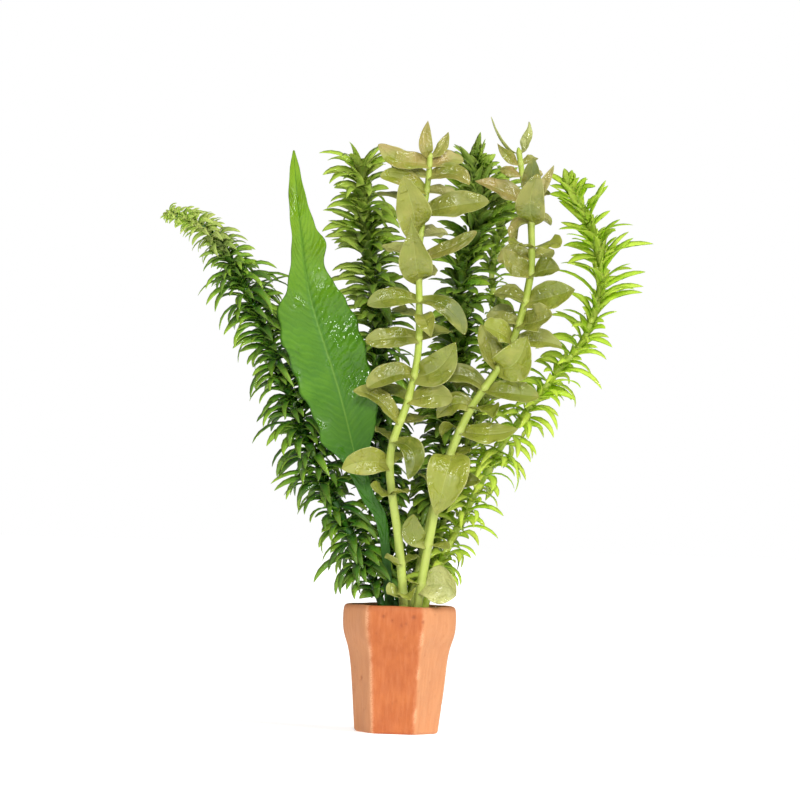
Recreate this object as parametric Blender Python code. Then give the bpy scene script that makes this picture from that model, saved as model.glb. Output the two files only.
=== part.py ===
"""A bunch of water plants standing in a small six-sided terracotta pot.

Sizes and places are in millimetres, turned into metres by MM. +Z is up, the front is -Y,
and the origin is the middle of the pot's foot.
"""

import math

import bmesh
import bpy
import numpy as np
from mathutils import Vector

MM = 0.001
GAP = 0.35
FRONT = np.array((0.0, -1.0, 0.0))
SHARP_EDGE = 40.0
HEXAGON = math.cos(math.pi / 6)

# Pot: height and distance from the axis to a corner, from the foot to the rim
POT_OUTSIDE = ((0.0, 16.4), (0.9, 17.1), (16.4, 18.6), (28.4, 19.8), (34.0, 20.9), (39.6, 22.7),
               (44.0, 23.4), (48.5, 23.4), (50.6, 22.9))
POT_INSIDE = ((51.0, 20.6), (47.5, 19.6), (34.0, 17.9), (4.5, 14.4))
POT_TURN = 25.0
POT_CORNER = 2.4
WOOL_TOP = 44.0

# Each stem's middle line, from inside the wool to its tip
BACOPA_STEMS = {
    "left": ((1, -7, 30), (1.7, -9, 48), (-1.2, -13, 76), (-5.8, -17, 109), (0.6, -19, 133),
             (4, -20, 152), (3.8, -20, 173), (3.2, -19, 193), (5.9, -17, 221), (6.3, -16, 232)),
    "right": ((6, -7, 30), (6.8, -9, 48), (10.4, -13, 75), (16, -17, 105), (25.5, -20, 130),
              (40, -22, 154), (47.5, -22, 182), (47.6, -20, 205), (49, -18, 219)),
    "back": ((3, 0.5, 30), (4.3, 1.7, 48), (9.6, -1, 77), (15.8, -4, 105), (25.3, -7, 130),
             (39.8, -10, 154), (47.3, -11, 182), (47.2, -9, 205), (44, -6, 221), (41.5, -5, 235)),
}
BACOPA_STEM_RADIUS = (1.95, 1.1)
BACOPA_STEM_RINGS = 19

# Leaf pairs: height of the joint on the stem, then for each of the two leaves the way from the
# stem to its tip (right, back, up), its width, and how far its upper side is turned to the front
BACOPA_PAIRS = {
    "left": (
        (56, (-6, -6, -2, 6, 0.2), (3, -9, -2.5, 7, 0.4)),
        (68, (-6, -8, 3, 7, 0.4), (8, 6, 3, 6, 0)),
        (96, (-9, -10, 3, 8, 0.5), (6, -9, 1, 6, 0.1)),
        (108, (-19, -9, -3, 11, 1), (8, 9, 3, 7, 0)),
        (117, (6.1, -9, -15.4, 9, 0.8), (-6, 9, 4, 8, 0.2)),
        (125, (-19.5, -7, 10.6, 9, 0.8), (12, 8, 2, 8, 0.3)),
        (134, (17.6, -5, 0.5, 10.6, 0.8), (-16.4, 11, -0.9, 8, 0.6)),
        (143, (16, -8, 13.7, 13, 1), (-18.6, -6, -5.4, 10, 0.7)),
        (158, (-20.8, -5, -3, 10, 0.8), (13, 8, 4, 9, 0.6)),
        (167, (5, -13, -9, 8, 0.3), (-11, 8, 3, 7, 0.4)),
        (173, (-20.3, -6, -2.6, 10, 0.6), (18.4, -4, -13.4, 9, 0.6)),
        (181, (-2.4, -8, 25, 13.2, 0.9), (6, 13, 6, 9, 0.2)),
        (190, (22.6, -6, 10.6, 6.5, 0.8), (-15, 7, 4, 8, 0.4)),
        (198.5, (-7.6, -11, 23.5, 14, 0.9), (11, 10, 2, 9, 0.4)),
        (208.5, (25.5, -6, 4.4, 11, 0.8), (-20, 6, 7, 8, 0.4)),
        (216.5, (-18.2, -7, 5.6, 9, 0.8), (12, 6, -3, 8, 0.6)),
        (222.5, (16.5, -6, -1.9, 9, 0.8), (-15, 5, 4, 7, 0.7)),
        (227, (-20.6, -4, 7, 9, 0.8), (13.2, 4, 1.5, 8, 0.7)),
        (230.5, (-1.2, -2, 14, 5.6, 0.9), (7.3, 2, 9.5, 5, 0.7)),
    ),
    "right": (
        (60, (-5.6, -5, 1.2, 4, 0.2), (14, -6, -4, 15, 1)),
        (76, (-6, -6, 12, 6, 0.5), (8.5, -4, -1.6, 5, 0.3)),
        (99, (16, -5, 3, 9, 0.6), (-9, 6, 4, 7, 0.3)),
        (112, (-5, -9, -25, 17, 1), (7, 9, 4, 8, 0)),
        (122, (22.4, -4, 1, 10, 0.7), (-8, 10, -3, 8, 0.2)),
        (131, (8.4, -11, -4.1, 9, 0.5), (-14, 4, -5, 10, 0.8)),
        (139, (21.2, -4, -2.9, 10, 0.7), (-21, 3, 1.2, 9, 0.7)),
        (147, (10, -10, 13, 15, 1), (-8, 4, 17, 9, 0.8)),
        (158, (19.6, 3, -1.4, 9, 0.8), (-12, -8, 5, 10, 0.8)),
        (165, (12, -11, 4, 12, 0.8), (-13, 6, 2, 8, 0.6)),
        (174, (19.5, -6, 4.6, 12, 0.9), (-13, 4, 3, 9, 0.6)),
        (185, (10.4, -8, 2, 10, 0.8), (-11, -6, 9.3, 9, 0.9)),
        (195, (11, -9, 0.5, 9, 0.3), (-9, -9, 0.5, 9, 0.3)),
        (205, (1.4, -8, 19.2, 12, 1), (-8, 3, -7, 6, 0.6)),
        (216.5, (-1.6, -3, 14, 8, 0.9), (7, 4, 12, 4, 0.6)),
    ),
    "back": (
        (137, (-11, 6, 3, 9, 0.6), (9, 7, 2, 8, 0.4)),
        (164, (-12, 5, 4, 9, 0.7), (10, 6, 3, 8, 0.6)),
        (192, (-13, 3, -3, 9, 0.8), (9, 6, 3, 8, 0.6)),
        (207, (-5, -6, -9, 4.5, 0.6), (9, 6, -2, 7, 0.6)),
        (214.5, (-20, -4, 8, 9.5, 0.8), (9, 6, 2, 7, 0.6)),
        (224.5, (-9, -5, 2.5, 4.5, 0.8), (8, 5, 0, 6, 0.7)),
        (229, (-9.5, -3, 7.5, 4.5, 0.8), (7, 4, 2, 5, 0.7)),
        (233, (-12, 0, 14, 4, 0.15), (3, 1, 12.6, 4.5, 0.3)),
    ),
}
COLLAR_HEIGHT = 1.8
COLLAR_WALL = 0.8
COLLAR_REACH = 5.0

# A broad leaf: the sections that its solid has, as shares of its length, how far it leaves the
# stem squarely before it turns to its tip, and how its blade is bowed, folded and widened
LEAF_SECTIONS = (0.3, 0.64, 0.9)
LEAF_SQUARE_START = 0.35
LEAF_TURN_SHARE = 0.25
LEAF_THICKNESS = 0.7
LEAF_ARCH = 0.14
LEAF_FOLD = 0.16
LEAF_TURNED_FOOT = 0.6
LEAF_FOOT_WIDTH = 0.7
LEAF_WIDEST = 0.38
LEAF_POINTEDNESS = 1.2

FERN_RIB = ((-4, -4, 30), (-4.5, -6, 51.5), (-8.3, -9, 84), (-16, -12, 98), (-27, -15, 136),
            (-39.5, -15, 173), (-45, -14, 205), (-48, -12, 231))
# Share of the way up the fern leaf, and the blade's reach to the left and the right of its rib
FERN_EDGE = ((0.0, 1.5, 1.5), (0.2, 1.8, 1.8), (0.26, 2.3, 2.3), (0.34, 2.8, 3.1), (0.385, 4.8, 3.4),
             (0.402, 6.2, 5.6), (0.442, 11.5, 10.0), (0.478, 12.0, 13.0), (0.515, 13.5, 14.0),
             (0.578, 15.3, 14.6), (0.636, 15.4, 15.6), (0.682, 15.0, 13.8), (0.713, 13.6, 11.8),
             (0.737, 9.0, 10.8), (0.769, 6.3, 7.8), (0.82, 4.3, 9.2), (0.853, 3.7, 6.0),
             (0.918, 3.4, 3.1), (0.96, 2.2, 2.0))
FERN_THICKNESS = 1.5
FERN_THINNING = 0.5
FERN_CUP = 0.1
FERN_WAVE = 1.6
FERN_WAVE_TURNS = 60.0
FERN_WAVE_START = 0.35
FERN_WAVE_GROWTH = 8.0
# How thick the blade is over and under its rib and midway to its margins, as shares
FERN_OVER = 0.4
FERN_UNDER = 0.8
FERN_MIDWAY = 0.3
FERN_STALK_RADIUS = 1.6

# Egeria shoots: middle line, stem radius at foot and tip, height of the lowest whorl, number of
# whorls, leaf length low, halfway and at the tip, leaf width, and the leaves' rise in degrees
# above square to the stem, low and at the tip
EGERIA = {
    "far_left": dict(
        line=((-5, 0, 30), (-8, 1, 53), (-19, 2, 75), (-31, 3, 99), (-43, 3, 125.5), (-51.4, 2, 145),
              (-63, 0, 170), (-77, -2, 194), (-88, -4, 202), (-97.5, -5, 204.5)),
        radius=(1.6, 1.0), lowest=59, whorls=17, length=(14.0, 15.5, 6.5), width=2.4, rise=(12, 40)),
    "back_left": dict(
        line=((-1.5, 4, 30), (-2, 7, 52), (-5.5, 11, 74), (-8, 14, 100), (-11.5, 17, 136),
              (-13, 18, 172), (-18, 17, 194), (-21, 15, 224)),
        radius=(1.6, 1.2), lowest=62, whorls=13, length=(13.0, 15.0, 15.0), width=2.6, rise=(12, 42)),
    "back_middle": dict(
        line=((4, 6, 30), (5, 9, 51), (11, 13, 89), (18, 16, 133), (20.8, 17, 160), (20.8, 16, 188),
              (27, 15, 207), (24.5, 14, 226)),
        radius=(1.5, 1.1), lowest=62, whorls=13, length=(11.5, 14.5, 13.0), width=2.6, rise=(12, 58)),
    "back_right": dict(
        line=((7, 3.5, 30), (9, 5, 51.5), (17.6, 11, 89), (29.6, 18, 129), (38, 25, 156),
              (33, 31, 184), (36, 33, 208), (36, 32, 222)),
        radius=(1.4, 1.0), lowest=64, whorls=12, length=(11.5, 13.5, 12.5), width=2.4, rise=(15, 58)),
    "right": dict(
        line=((8, -1, 30), (10, -1, 51), (19.5, 1, 77), (35.5, 3, 110), (46, 3, 127), (58.5, 1, 144),
              (70.6, -2, 161), (76, -4, 182), (72.5, -4, 201), (62.5, -3, 220.5)),
        radius=(1.5, 0.9), lowest=64, whorls=13, length=(15.0, 17.0, 11.5), width=2.6, rise=(20, 45)),
}
WHORL_TURN = 41.0
WHORL_BAND = 1.5
WHORL_REACH = 2.2
WHORL_CROWDING = 1.25
BARE_FOOT = 6.0
BARE_TIP = 2.5
EGERIA_THICKNESS = 0.8
EGERIA_CURL = 42.0
# Turn round the stem in degrees and share of the length, tried in order until a leaf has room
LEAF_TRIES = ((0, 1.0), (18, 1.0), (-18, 1.0), (0, 0.78), (30, 0.78), (-30, 0.78), (0, 0.58), (0, 0.42),
              (0, 0.3))
TESTED_FROM = 0.35
ABOVE_RIM = 53.5
SHOOT_MARGIN = 0.08
STEM_MARGIN = 1.2
BLADE_SIDE_MARGIN = 0.8
BLADE_FACE_MARGIN = 1.7
FERN_MARGIN = 0.5

# How much wider than its stem a hole in the wool is, before the gap
BACOPA_HOLE_EXTRA = 0.06
EGERIA_HOLE_EXTRA = 0.1
HOLE_ABOVE_WOOL = 4.0


def unit(vectors):
    vectors = np.asarray(vectors, float)
    return vectors / np.linalg.norm(vectors, axis=-1, keepdims=True)


class Line:
    """A smooth curve through hand-placed points, in millimetres (Catmull-Rom)."""

    def __init__(self, points, steps=12):
        p = np.array(points, float)
        p = np.vstack([2 * p[0] - p[1], p, 2 * p[-1] - p[-2]])
        t = np.linspace(0, 1, steps, endpoint=False)[:, None]
        spans = []
        for a, b, c, d in zip(p[:-3], p[1:-2], p[2:-1], p[3:]):
            spans.append(0.5 * (2 * b + (c - a) * t + (2 * a - 5 * b + 4 * c - d) * t**2
                                + (3 * b - a - 3 * c + d) * t**3))
        self.points = np.vstack(spans + [p[-2:-1]])
        steps_mm = np.linalg.norm(np.diff(self.points, axis=0), axis=1)
        self.run = np.concatenate([[0], np.cumsum(steps_mm)])
        self.length = self.run[-1]

    def at(self, run):
        return np.stack([np.interp(run, self.run, self.points[:, i]) for i in range(3)], axis=-1)

    def direction(self, run):
        return unit(self.at(np.add(run, 1.0)) - self.at(np.subtract(run, 1.0)))

    def run_at_height(self, height):
        return np.interp(height, self.points[:, 2], self.run)


def blend(pair, share):
    return pair[0] + (pair[1] - pair[0]) * share


def material(name, colour, roughness):
    made = bpy.data.materials.new(name)
    made.use_nodes = True
    shader = made.node_tree.nodes["Principled BSDF"]
    shader.inputs["Base Color"].default_value = (*colour, 1)
    shader.inputs["Roughness"].default_value = roughness
    shader.inputs["Metallic"].default_value = 0
    return made


def add_object(name, mesh, finish, collection):
    mesh.materials.clear()
    mesh.materials.append(finish)
    mesh.shade_smooth()
    mesh.set_sharp_from_angle(angle=math.radians(SHARP_EDGE))
    made = bpy.data.objects.new(name, mesh)
    collection.objects.link(made)
    return made


def mesh_from(bm, name):
    bmesh.ops.recalc_face_normals(bm, faces=bm.faces)
    mesh = bpy.data.meshes.new(name)
    bm.to_mesh(mesh)
    bm.free()
    return mesh


def tube(name, points, radii, resolution, finish, collection, tilts=None):
    """A round stem: a poly curve with a bevel and filled caps."""
    curve = bpy.data.curves.new(name, "CURVE")
    curve.dimensions = "3D"
    curve.bevel_depth = MM
    curve.bevel_resolution = resolution
    curve.use_fill_caps = True
    curve.twist_mode = "MINIMUM"
    spline = curve.splines.new("POLY")
    spline.points.add(len(points) - 1)
    for i, point in enumerate(points):
        spline.points[i].co = (*(point * MM), 1)
        spline.points[i].radius = radii[i]
        spline.points[i].tilt = 0 if tilts is None else tilts[i]
    curve.materials.append(finish)
    made = bpy.data.objects.new(name, curve)
    collection.objects.link(made)
    return made


def bmesh_of_tube(made):
    """The tube as an editable mesh with its caps welded on; the curve is removed."""
    graph = bpy.context.evaluated_depsgraph_get()
    mesh = bpy.data.meshes.new_from_object(made.evaluated_get(graph))
    mesh.transform(made.matrix_world)
    bm = bmesh.new()
    bm.from_mesh(mesh)
    bmesh.ops.remove_doubles(bm, verts=bm.verts, dist=0.01 * MM)
    curve = made.data
    bpy.data.objects.remove(made)
    bpy.data.curves.remove(curve)
    bpy.data.meshes.remove(mesh)
    return bm


def split_sides(face, ranks):
    """Splits the quads below a newly extruded face so that a blade's two sides bend alike.

    A corner's rank is its place between the two margins, the same over and under the blade."""
    corners = [loop.vert for loop in face.loops]
    for i, corner in enumerate(corners):
        j = (i + 1) % len(corners)
        edge = next(e for e in corner.link_edges if e.other_vert(corner) is corners[j])
        side = next(f for f in edge.link_faces if f is not face)
        high, low = (corner, corners[j]) if ranks[i] > ranks[j] else (corners[j], corner)
        below = next(e.other_vert(low) for e in low.link_edges
                     if e in side.edges and e.other_vert(low) is not high)
        bmesh.utils.face_split(side, below, high)


def grow(bm, face, sections, tip):
    """Extrudes a face through cross-sections and draws it together at the tip.

    A section is a ring of corners in millimetres, anticlockwise as seen from its far side."""
    matched = None
    for section in sections:
        ring = [Vector(corner * MM) for corner in section]
        count = len(ring)
        face = bmesh.ops.extrude_discrete_faces(bm, faces=[face])["faces"][0]
        corners = [loop.vert for loop in face.loops]
        if matched is None:
            spread = [sum((corners[i].co - ring[(i + k) % count]).length for i in range(count))
                      for k in range(count)]
            matched = spread.index(min(spread))
        places = [(i + matched) % count for i in range(count)]
        for corner, place in zip(corners, places):
            corner.co = ring[place]
        split_sides(face, [min(place, count - place) for place in places])
    drawn = bmesh.ops.extrude_discrete_faces(bm, faces=[face])["faces"][0]
    bmesh.ops.pointmerge(bm, verts=list(drawn.verts), merge_co=Vector(tip * MM))


def blade_frame(along, up):
    """The blade's across and upper directions, square to its run."""
    over = unit(up - np.sum(up * along, axis=-1, keepdims=True) * along)
    return np.cross(over, along), over


def bacopa_outline(share):
    """Half-width of a leaf, from its clasping foot to its tip, as a share of the widest."""
    share = np.asarray(share, float)
    grown = np.sin(np.clip(share / LEAF_WIDEST, 0, 1) * math.pi / 2)
    lower = blend((LEAF_FOOT_WIDTH, 1), grown)
    rest = (share - LEAF_WIDEST) / (1 - LEAF_WIDEST)
    upper = np.sqrt(np.clip(1 - rest**2, 0, 1)) ** LEAF_POINTEDNESS
    return np.where(share < LEAF_WIDEST, lower, upper)


def bacopa_leaf(stem, height, radius, leaf):
    """Middle line, across and upper directions and half-widths of one leaf at given shares."""
    run = stem.run_at_height(height)
    foot, stem_way = stem.at(run), stem.direction(run)
    way = np.array(leaf[:3], float)
    side = unit(way - np.dot(way, stem_way) * stem_way)
    start = foot + side * (radius + COLLAR_WALL)
    tip = foot + way
    facing = leaf[4]

    def at(shares):
        shares = np.atleast_1d(np.asarray(shares, float))[:, None]
        chord = tip - start
        length = np.linalg.norm(chord)
        bow = blade_frame(unit(chord), stem_way)[1] * length * LEAF_ARCH
        turn = start + side * length * LEAF_SQUARE_START + chord * LEAF_TURN_SHARE + bow
        middle = (1 - shares) ** 2 * start + 2 * shares * (1 - shares) * turn + shares**2 * tip
        along = unit(2 * (1 - shares) * (turn - start) + 2 * shares * (tip - turn))
        turned = facing * blend((LEAF_TURNED_FOOT, 1), shares**0.5)
        up = (1 - turned) * stem_way + turned * FRONT
        across, over = blade_frame(along, up)
        half = 0.5 * leaf[3] * bacopa_outline(shares)
        return middle, across, over, half

    return at


def leaf_sections(at, shares):
    """Rings of four corners: margin, under the rib, margin, and over the rib."""
    middle, across, over, half = at(shares)
    rise = LEAF_FOLD * half
    return np.stack([
        middle + across * half + over * rise,
        middle + over * LEAF_THICKNESS * 0.5,
        middle - across * half + over * rise,
        middle - over * LEAF_THICKNESS * 0.5,
    ], axis=1)


def collar(bm, foot, way, side, radius):
    """A six-sided ring around the stem, with one of its sides facing the first leaf."""
    inner = (radius + GAP) / HEXAGON
    bmesh.ops.create_cone(bm, cap_ends=False, segments=6, radius1=inner * MM, radius2=inner * MM,
                          depth=COLLAR_HEIGHT * MM)
    bmesh.ops.solidify(bm, geom=bm.faces[:], thickness=-COLLAR_WALL * MM)
    frame = np.column_stack([side, np.cross(way, side), way])
    turn = math.pi / 6
    for vert in bm.verts:
        x, y, z = vert.co
        turned = np.array((x * math.cos(turn) - y * math.sin(turn),
                           x * math.sin(turn) + y * math.cos(turn), z))
        vert.co = Vector(frame @ turned + foot * MM)
    bmesh.ops.recalc_face_normals(bm, faces=bm.faces)


def outer_faces(bm, centre, way, reach):
    """The side faces of a ring or band that look away from its middle."""
    found = []
    for face in bm.faces:
        out = face.calc_center_median() - centre
        if len(face.verts) == 4 and out.length < reach and abs(out.dot(way)) < 0.2 * MM \
                and face.normal.dot(out) > 0:
            found.append(face)
    return found


def bacopa_pair(name, stem, radius, pair, finish, collection):
    """Two leaves joined by the collar with which they clasp the stem."""
    height, *leaves = pair
    run = stem.run_at_height(height)
    foot, way = stem.at(run), stem.direction(run)
    bm = bmesh.new()
    first = np.array(leaves[0][:3], float)
    collar(bm, foot, way, unit(first - np.dot(first, way) * way), radius)
    outer = outer_faces(bm, Vector(foot * MM), Vector(way), COLLAR_REACH * MM)
    for leaf in leaves:
        out = np.array(leaf[:3], float)
        out = Vector(unit(out - np.dot(out, way) * way))
        face = max(outer, key=lambda f: f.normal.dot(out))
        outer.remove(face)
        at = bacopa_leaf(stem, height, radius + GAP, leaf)
        grow(bm, face, leaf_sections(at, LEAF_SECTIONS), at(1.0)[0][0])
    add_object(name, mesh_from(bm, name), finish, collection)


def add_bacopa(side, collection, finishes):
    """A bacopa stem and its leaf pairs. Returns its line and all its leaves, for the egeria."""
    stem = Line(BACOPA_STEMS[side])
    shares = np.linspace(0, 1, BACOPA_STEM_RINGS)
    runs = shares * stem.length
    tube(f"bacopa_{side}_stem", stem.at(runs), blend(BACOPA_STEM_RADIUS, shares), 1,
         finishes["bacopa_stem"], collection)
    blades = []
    for number, pair in enumerate(BACOPA_PAIRS[side], 1):
        share = stem.run_at_height(pair[0]) / stem.length
        radius = blend(BACOPA_STEM_RADIUS, share)
        bacopa_pair(f"bacopa_{side}_pair_{number:02d}", stem, radius, pair,
                    finishes["bacopa_leaf"], collection)
        for leaf in pair[1:]:
            blades.append(bacopa_leaf(stem, pair[0], radius + GAP, leaf))
    return stem, blades


def fern_frame(shares):
    rib = Line(FERN_RIB)
    runs = np.asarray(shares) * rib.length
    edge = np.array(FERN_EDGE)
    left = np.interp(shares, edge[:, 0], edge[:, 1])
    right = np.interp(shares, edge[:, 0], edge[:, 2])
    along = rib.direction(runs)
    across, over = blade_frame(along, np.broadcast_to(FRONT, along.shape))
    return rib.at(runs), across, over, left, right


def prism(bm, low, high):
    """A solid between two rings of corners. Returns its far face."""
    bmesh.ops.create_cone(bm, cap_ends=True, segments=len(low), radius1=1, radius2=1, depth=1)
    bm.normal_update()
    far = max(bm.faces, key=lambda f: f.normal.z)
    for i, loop in enumerate(far.loops):
        top = loop.vert
        bottom = next(e.other_vert(top) for e in top.link_edges if e.other_vert(top).co.z < 0)
        top.co, bottom.co = Vector(high[i] * MM) + Vector((0, 0, 9)), Vector(low[i] * MM)
    for vert in far.verts:
        vert.co.z -= 9
    return far


def add_fern(collection, finish):
    """The winged stalk starts as a prism, and the blade is grown from it section by section."""
    edge = np.array(FERN_EDGE)
    shares = np.concatenate([np.linspace(0.0, 0.25, 4), edge[2:, 0]])
    middle, across, over, left, right = fern_frame(shares)
    waved = np.clip((shares - FERN_WAVE_START) * FERN_WAVE_GROWTH, 0, 1)
    wave = (FERN_WAVE * np.sin(shares * FERN_WAVE_TURNS) * waved)[:, None]
    left, right = left[:, None], right[:, None]
    lift = FERN_CUP * np.maximum(left, right)
    thick = FERN_THICKNESS * (1 - FERN_THINNING * shares[:, None])
    midway = over * FERN_MIDWAY * thick
    sections = np.stack([
        middle + across * left + over * (lift + wave),
        middle + across * left / 2 + midway,
        middle + over * FERN_OVER * thick,
        middle - across * right / 2 + midway,
        middle - across * right + over * (lift - wave),
        middle - across * right / 2 - midway,
        middle - over * FERN_UNDER * thick,
        middle + across * left / 2 - midway,
    ], axis=1)
    bm = bmesh.new()
    face = prism(bm, sections[0], sections[1])
    grow(bm, face, sections[2:], fern_frame([1.0])[0][0])
    add_object("fern_leaf", mesh_from(bm, "fern_leaf"), finish, collection)


class Room:
    """The space that each egeria shoot has for its leaves: nearer to it than to the other shoots,
    and clear of the stems and broad leaves that stand in the bunch."""

    def __init__(self):
        self.shoots = {}
        self.stems = []
        self.patches = []

    def add_stem(self, line, radius):
        self.stems.append((line.points, radius))

    def add_blade(self, middle, across, over, half):
        half = np.ravel(half)
        for i in range(len(middle) - 1):
            along = middle[i + 1] - middle[i]
            self.patches.append(((middle[i] + middle[i + 1]) / 2, unit(along), across[i], over[i],
                                 max(half[i], half[i + 1]), np.linalg.norm(along) / 2))

    def distance(self, points, line):
        return np.linalg.norm(points[:, None] - line[None], axis=2).min(axis=1)

    def free(self, points, own):
        if points[:, 2].min() < ABOVE_RIM:
            return False
        line, reach = self.shoots[own]
        share = self.distance(points, line) / reach
        for name, (line, reach) in self.shoots.items():
            if name != own and np.any(self.distance(points, line) / reach < share + SHOOT_MARGIN):
                return False
        for line, radius in self.stems:
            if self.distance(points, line).min() < radius + STEM_MARGIN:
                return False
        centre, along, across, over, half, length = map(np.array, zip(*self.patches))
        way = points[:, None] - centre[None]
        inside = (np.abs(np.sum(way * along, axis=2)) < length + BLADE_SIDE_MARGIN) \
            & (np.abs(np.sum(way * across, axis=2)) < half + BLADE_SIDE_MARGIN) \
            & (np.abs(np.sum(way * over, axis=2)) < BLADE_FACE_MARGIN)
        return not inside.any()


def egeria_leaf(start, out, way, length, rise, curl):
    """Foot, bend and tip of a leaf that leaves the stem at its rise and bends back down."""
    bend = start + length * 0.5 * (math.cos(rise) * out + math.sin(rise) * way)
    tip = bend + length * 0.5 * (math.cos(rise - curl) * out + math.sin(rise - curl) * way)
    return bend, tip


def add_egeria(name, shoot, room, collection, finish):
    line = Line(shoot["line"])
    first = line.run_at_height(shoot["lowest"])
    count = shoot["whorls"]
    last = line.length - BARE_TIP
    shares = 1 - (1 - np.arange(count) / (count - 1)) ** WHORL_CROWDING
    whorls = first + (last - first) * shares
    lower = np.linspace(0, first - BARE_FOOT, 4)
    bands = np.stack([whorls, whorls + WHORL_BAND], axis=1).ravel() - WHORL_BAND / 2
    runs = np.concatenate([lower, bands])
    turns = np.repeat(np.arange(count) * math.radians(WHORL_TURN), 2)
    tilts = np.concatenate([np.zeros(len(lower)), turns])
    radii = blend(shoot["radius"], runs / line.length)
    stem = tube(name, line.at(runs), radii, 0, finish, collection, tilts)
    bm = bmesh_of_tube(stem)
    bmesh.ops.recalc_face_normals(bm, faces=bm.faces)
    for run in whorls:
        share = (run - first) / (last - first)
        low, middle, high = shoot["length"]
        length = np.interp(share, (0, 0.5, 0.85, 1), (low, middle, middle, high))
        rise = math.radians(blend(shoot["rise"], share**3))
        centre, way = line.at(run), line.direction(run)
        for face in outer_faces(bm, Vector(centre * MM), Vector(way), WHORL_REACH * MM):
            out = np.array(face.normal)
            out = unit(out - np.dot(out, way) * way)
            start = np.array(face.calc_center_median()) / MM
            for turn, part in LEAF_TRIES:
                angle = math.radians(turn)
                turned = out * math.cos(angle) + np.cross(way, out) * math.sin(angle)
                bend, tip = egeria_leaf(start, turned, way, length * part, rise,
                                        math.radians(EGERIA_CURL))
                steps = np.linspace(TESTED_FROM, 1, 6)[:, None]
                inner = start + (bend - start) * steps
                outer = bend + (tip - bend) * steps
                if room.free(np.vstack([inner, outer]), name):
                    break
            else:
                continue
            along = unit(tip - start)
            across, over = blade_frame(along, way)
            half = across * shoot["width"] / 2
            thick = over * EGERIA_THICKNESS / 2
            section = (bend + half + thick, bend - half + thick, bend - half - thick,
                       bend + half - thick)
            grow(bm, face, [section], tip)
    add_object(name, mesh_from(bm, name), finish, collection)


def rounded_prism(bm, low, high):
    """A six-sided column with rounded corners between two (height, radius) levels."""
    bmesh.ops.create_cone(bm, cap_ends=True, segments=6, radius1=low[1] * MM, radius2=high[1] * MM,
                          depth=(high[0] - low[0]) * MM)
    bmesh.ops.translate(bm, verts=bm.verts, vec=(0, 0, (low[0] + high[0]) / 2 * MM))
    turn = math.radians(POT_TURN)
    for vert in bm.verts:
        x, y, z = vert.co
        vert.co = (x * math.cos(turn) - y * math.sin(turn), x * math.sin(turn) + y * math.cos(turn), z)
    upright = [e for e in bm.edges if abs(e.verts[0].co.z - e.verts[1].co.z) > 0.1 * MM]
    bmesh.ops.bevel(bm, geom=upright, offset=POT_CORNER * MM, offset_type="OFFSET", segments=2,
                    profile=0.5, affect="EDGES")
    bm.normal_update()
    return max(bm.faces, key=lambda f: (f.normal.z > 0.9, f.calc_area()))


def raise_levels(bm, face, start, levels):
    """Extrudes the top face through (height, radius) levels, up an outside or down an inside."""
    radius = start
    for height, wanted in levels:
        face = bmesh.ops.extrude_discrete_faces(bm, faces=[face])["faces"][0]
        for vert in face.verts:
            vert.co = (vert.co.x * wanted / radius, vert.co.y * wanted / radius, height * MM)
        radius = wanted


def add_pot(collection, finish):
    bm = bmesh.new()
    top = rounded_prism(bm, POT_OUTSIDE[0], POT_OUTSIDE[1])
    raise_levels(bm, top, POT_OUTSIDE[1][1], POT_OUTSIDE[2:] + POT_INSIDE)
    add_object("pot", mesh_from(bm, "pot"), finish, collection)


def add_wool(lines, collection, cutters, finish):
    """The plug follows the pot's inside, and each stem stands in a hole of its own."""
    heights = [h for h, _ in POT_INSIDE][::-1]
    radii = [r for _, r in POT_INSIDE][::-1]
    levels = [(h, np.interp(h, heights, radii) - GAP / HEXAGON)
              for h in (heights[0] + GAP, heights[1], WOOL_TOP)]
    bm = bmesh.new()
    top = rounded_prism(bm, levels[0], levels[1])
    raise_levels(bm, top, levels[1][1], levels[2:])
    wool = add_object("growing_wool", mesh_from(bm, "growing_wool"), finish, collection)
    for name, (line, radius) in lines.items():
        runs = np.linspace(0, line.run_at_height(WOOL_TOP + HOLE_ABOVE_WOOL), 3)
        points = line.at(runs)
        points[0] = points[0] - line.direction(0.0) * GAP
        hole = tube(f"hole_{name}", points, [radius] * 3, 1, finish, cutters)
        mesh = mesh_from(bmesh_of_tube(hole), f"hole_{name}")
        cutter = bpy.data.objects.new(f"hole_{name}", mesh)
        cutters.objects.link(cutter)
        cutter.hide_render = True
        cutter.display_type = "WIRE"
        cut = wool.modifiers.new(f"hole_{name}", "BOOLEAN")
        cut.operation = "DIFFERENCE"
        cut.solver = "EXACT"
        cut.object = cutter


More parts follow.
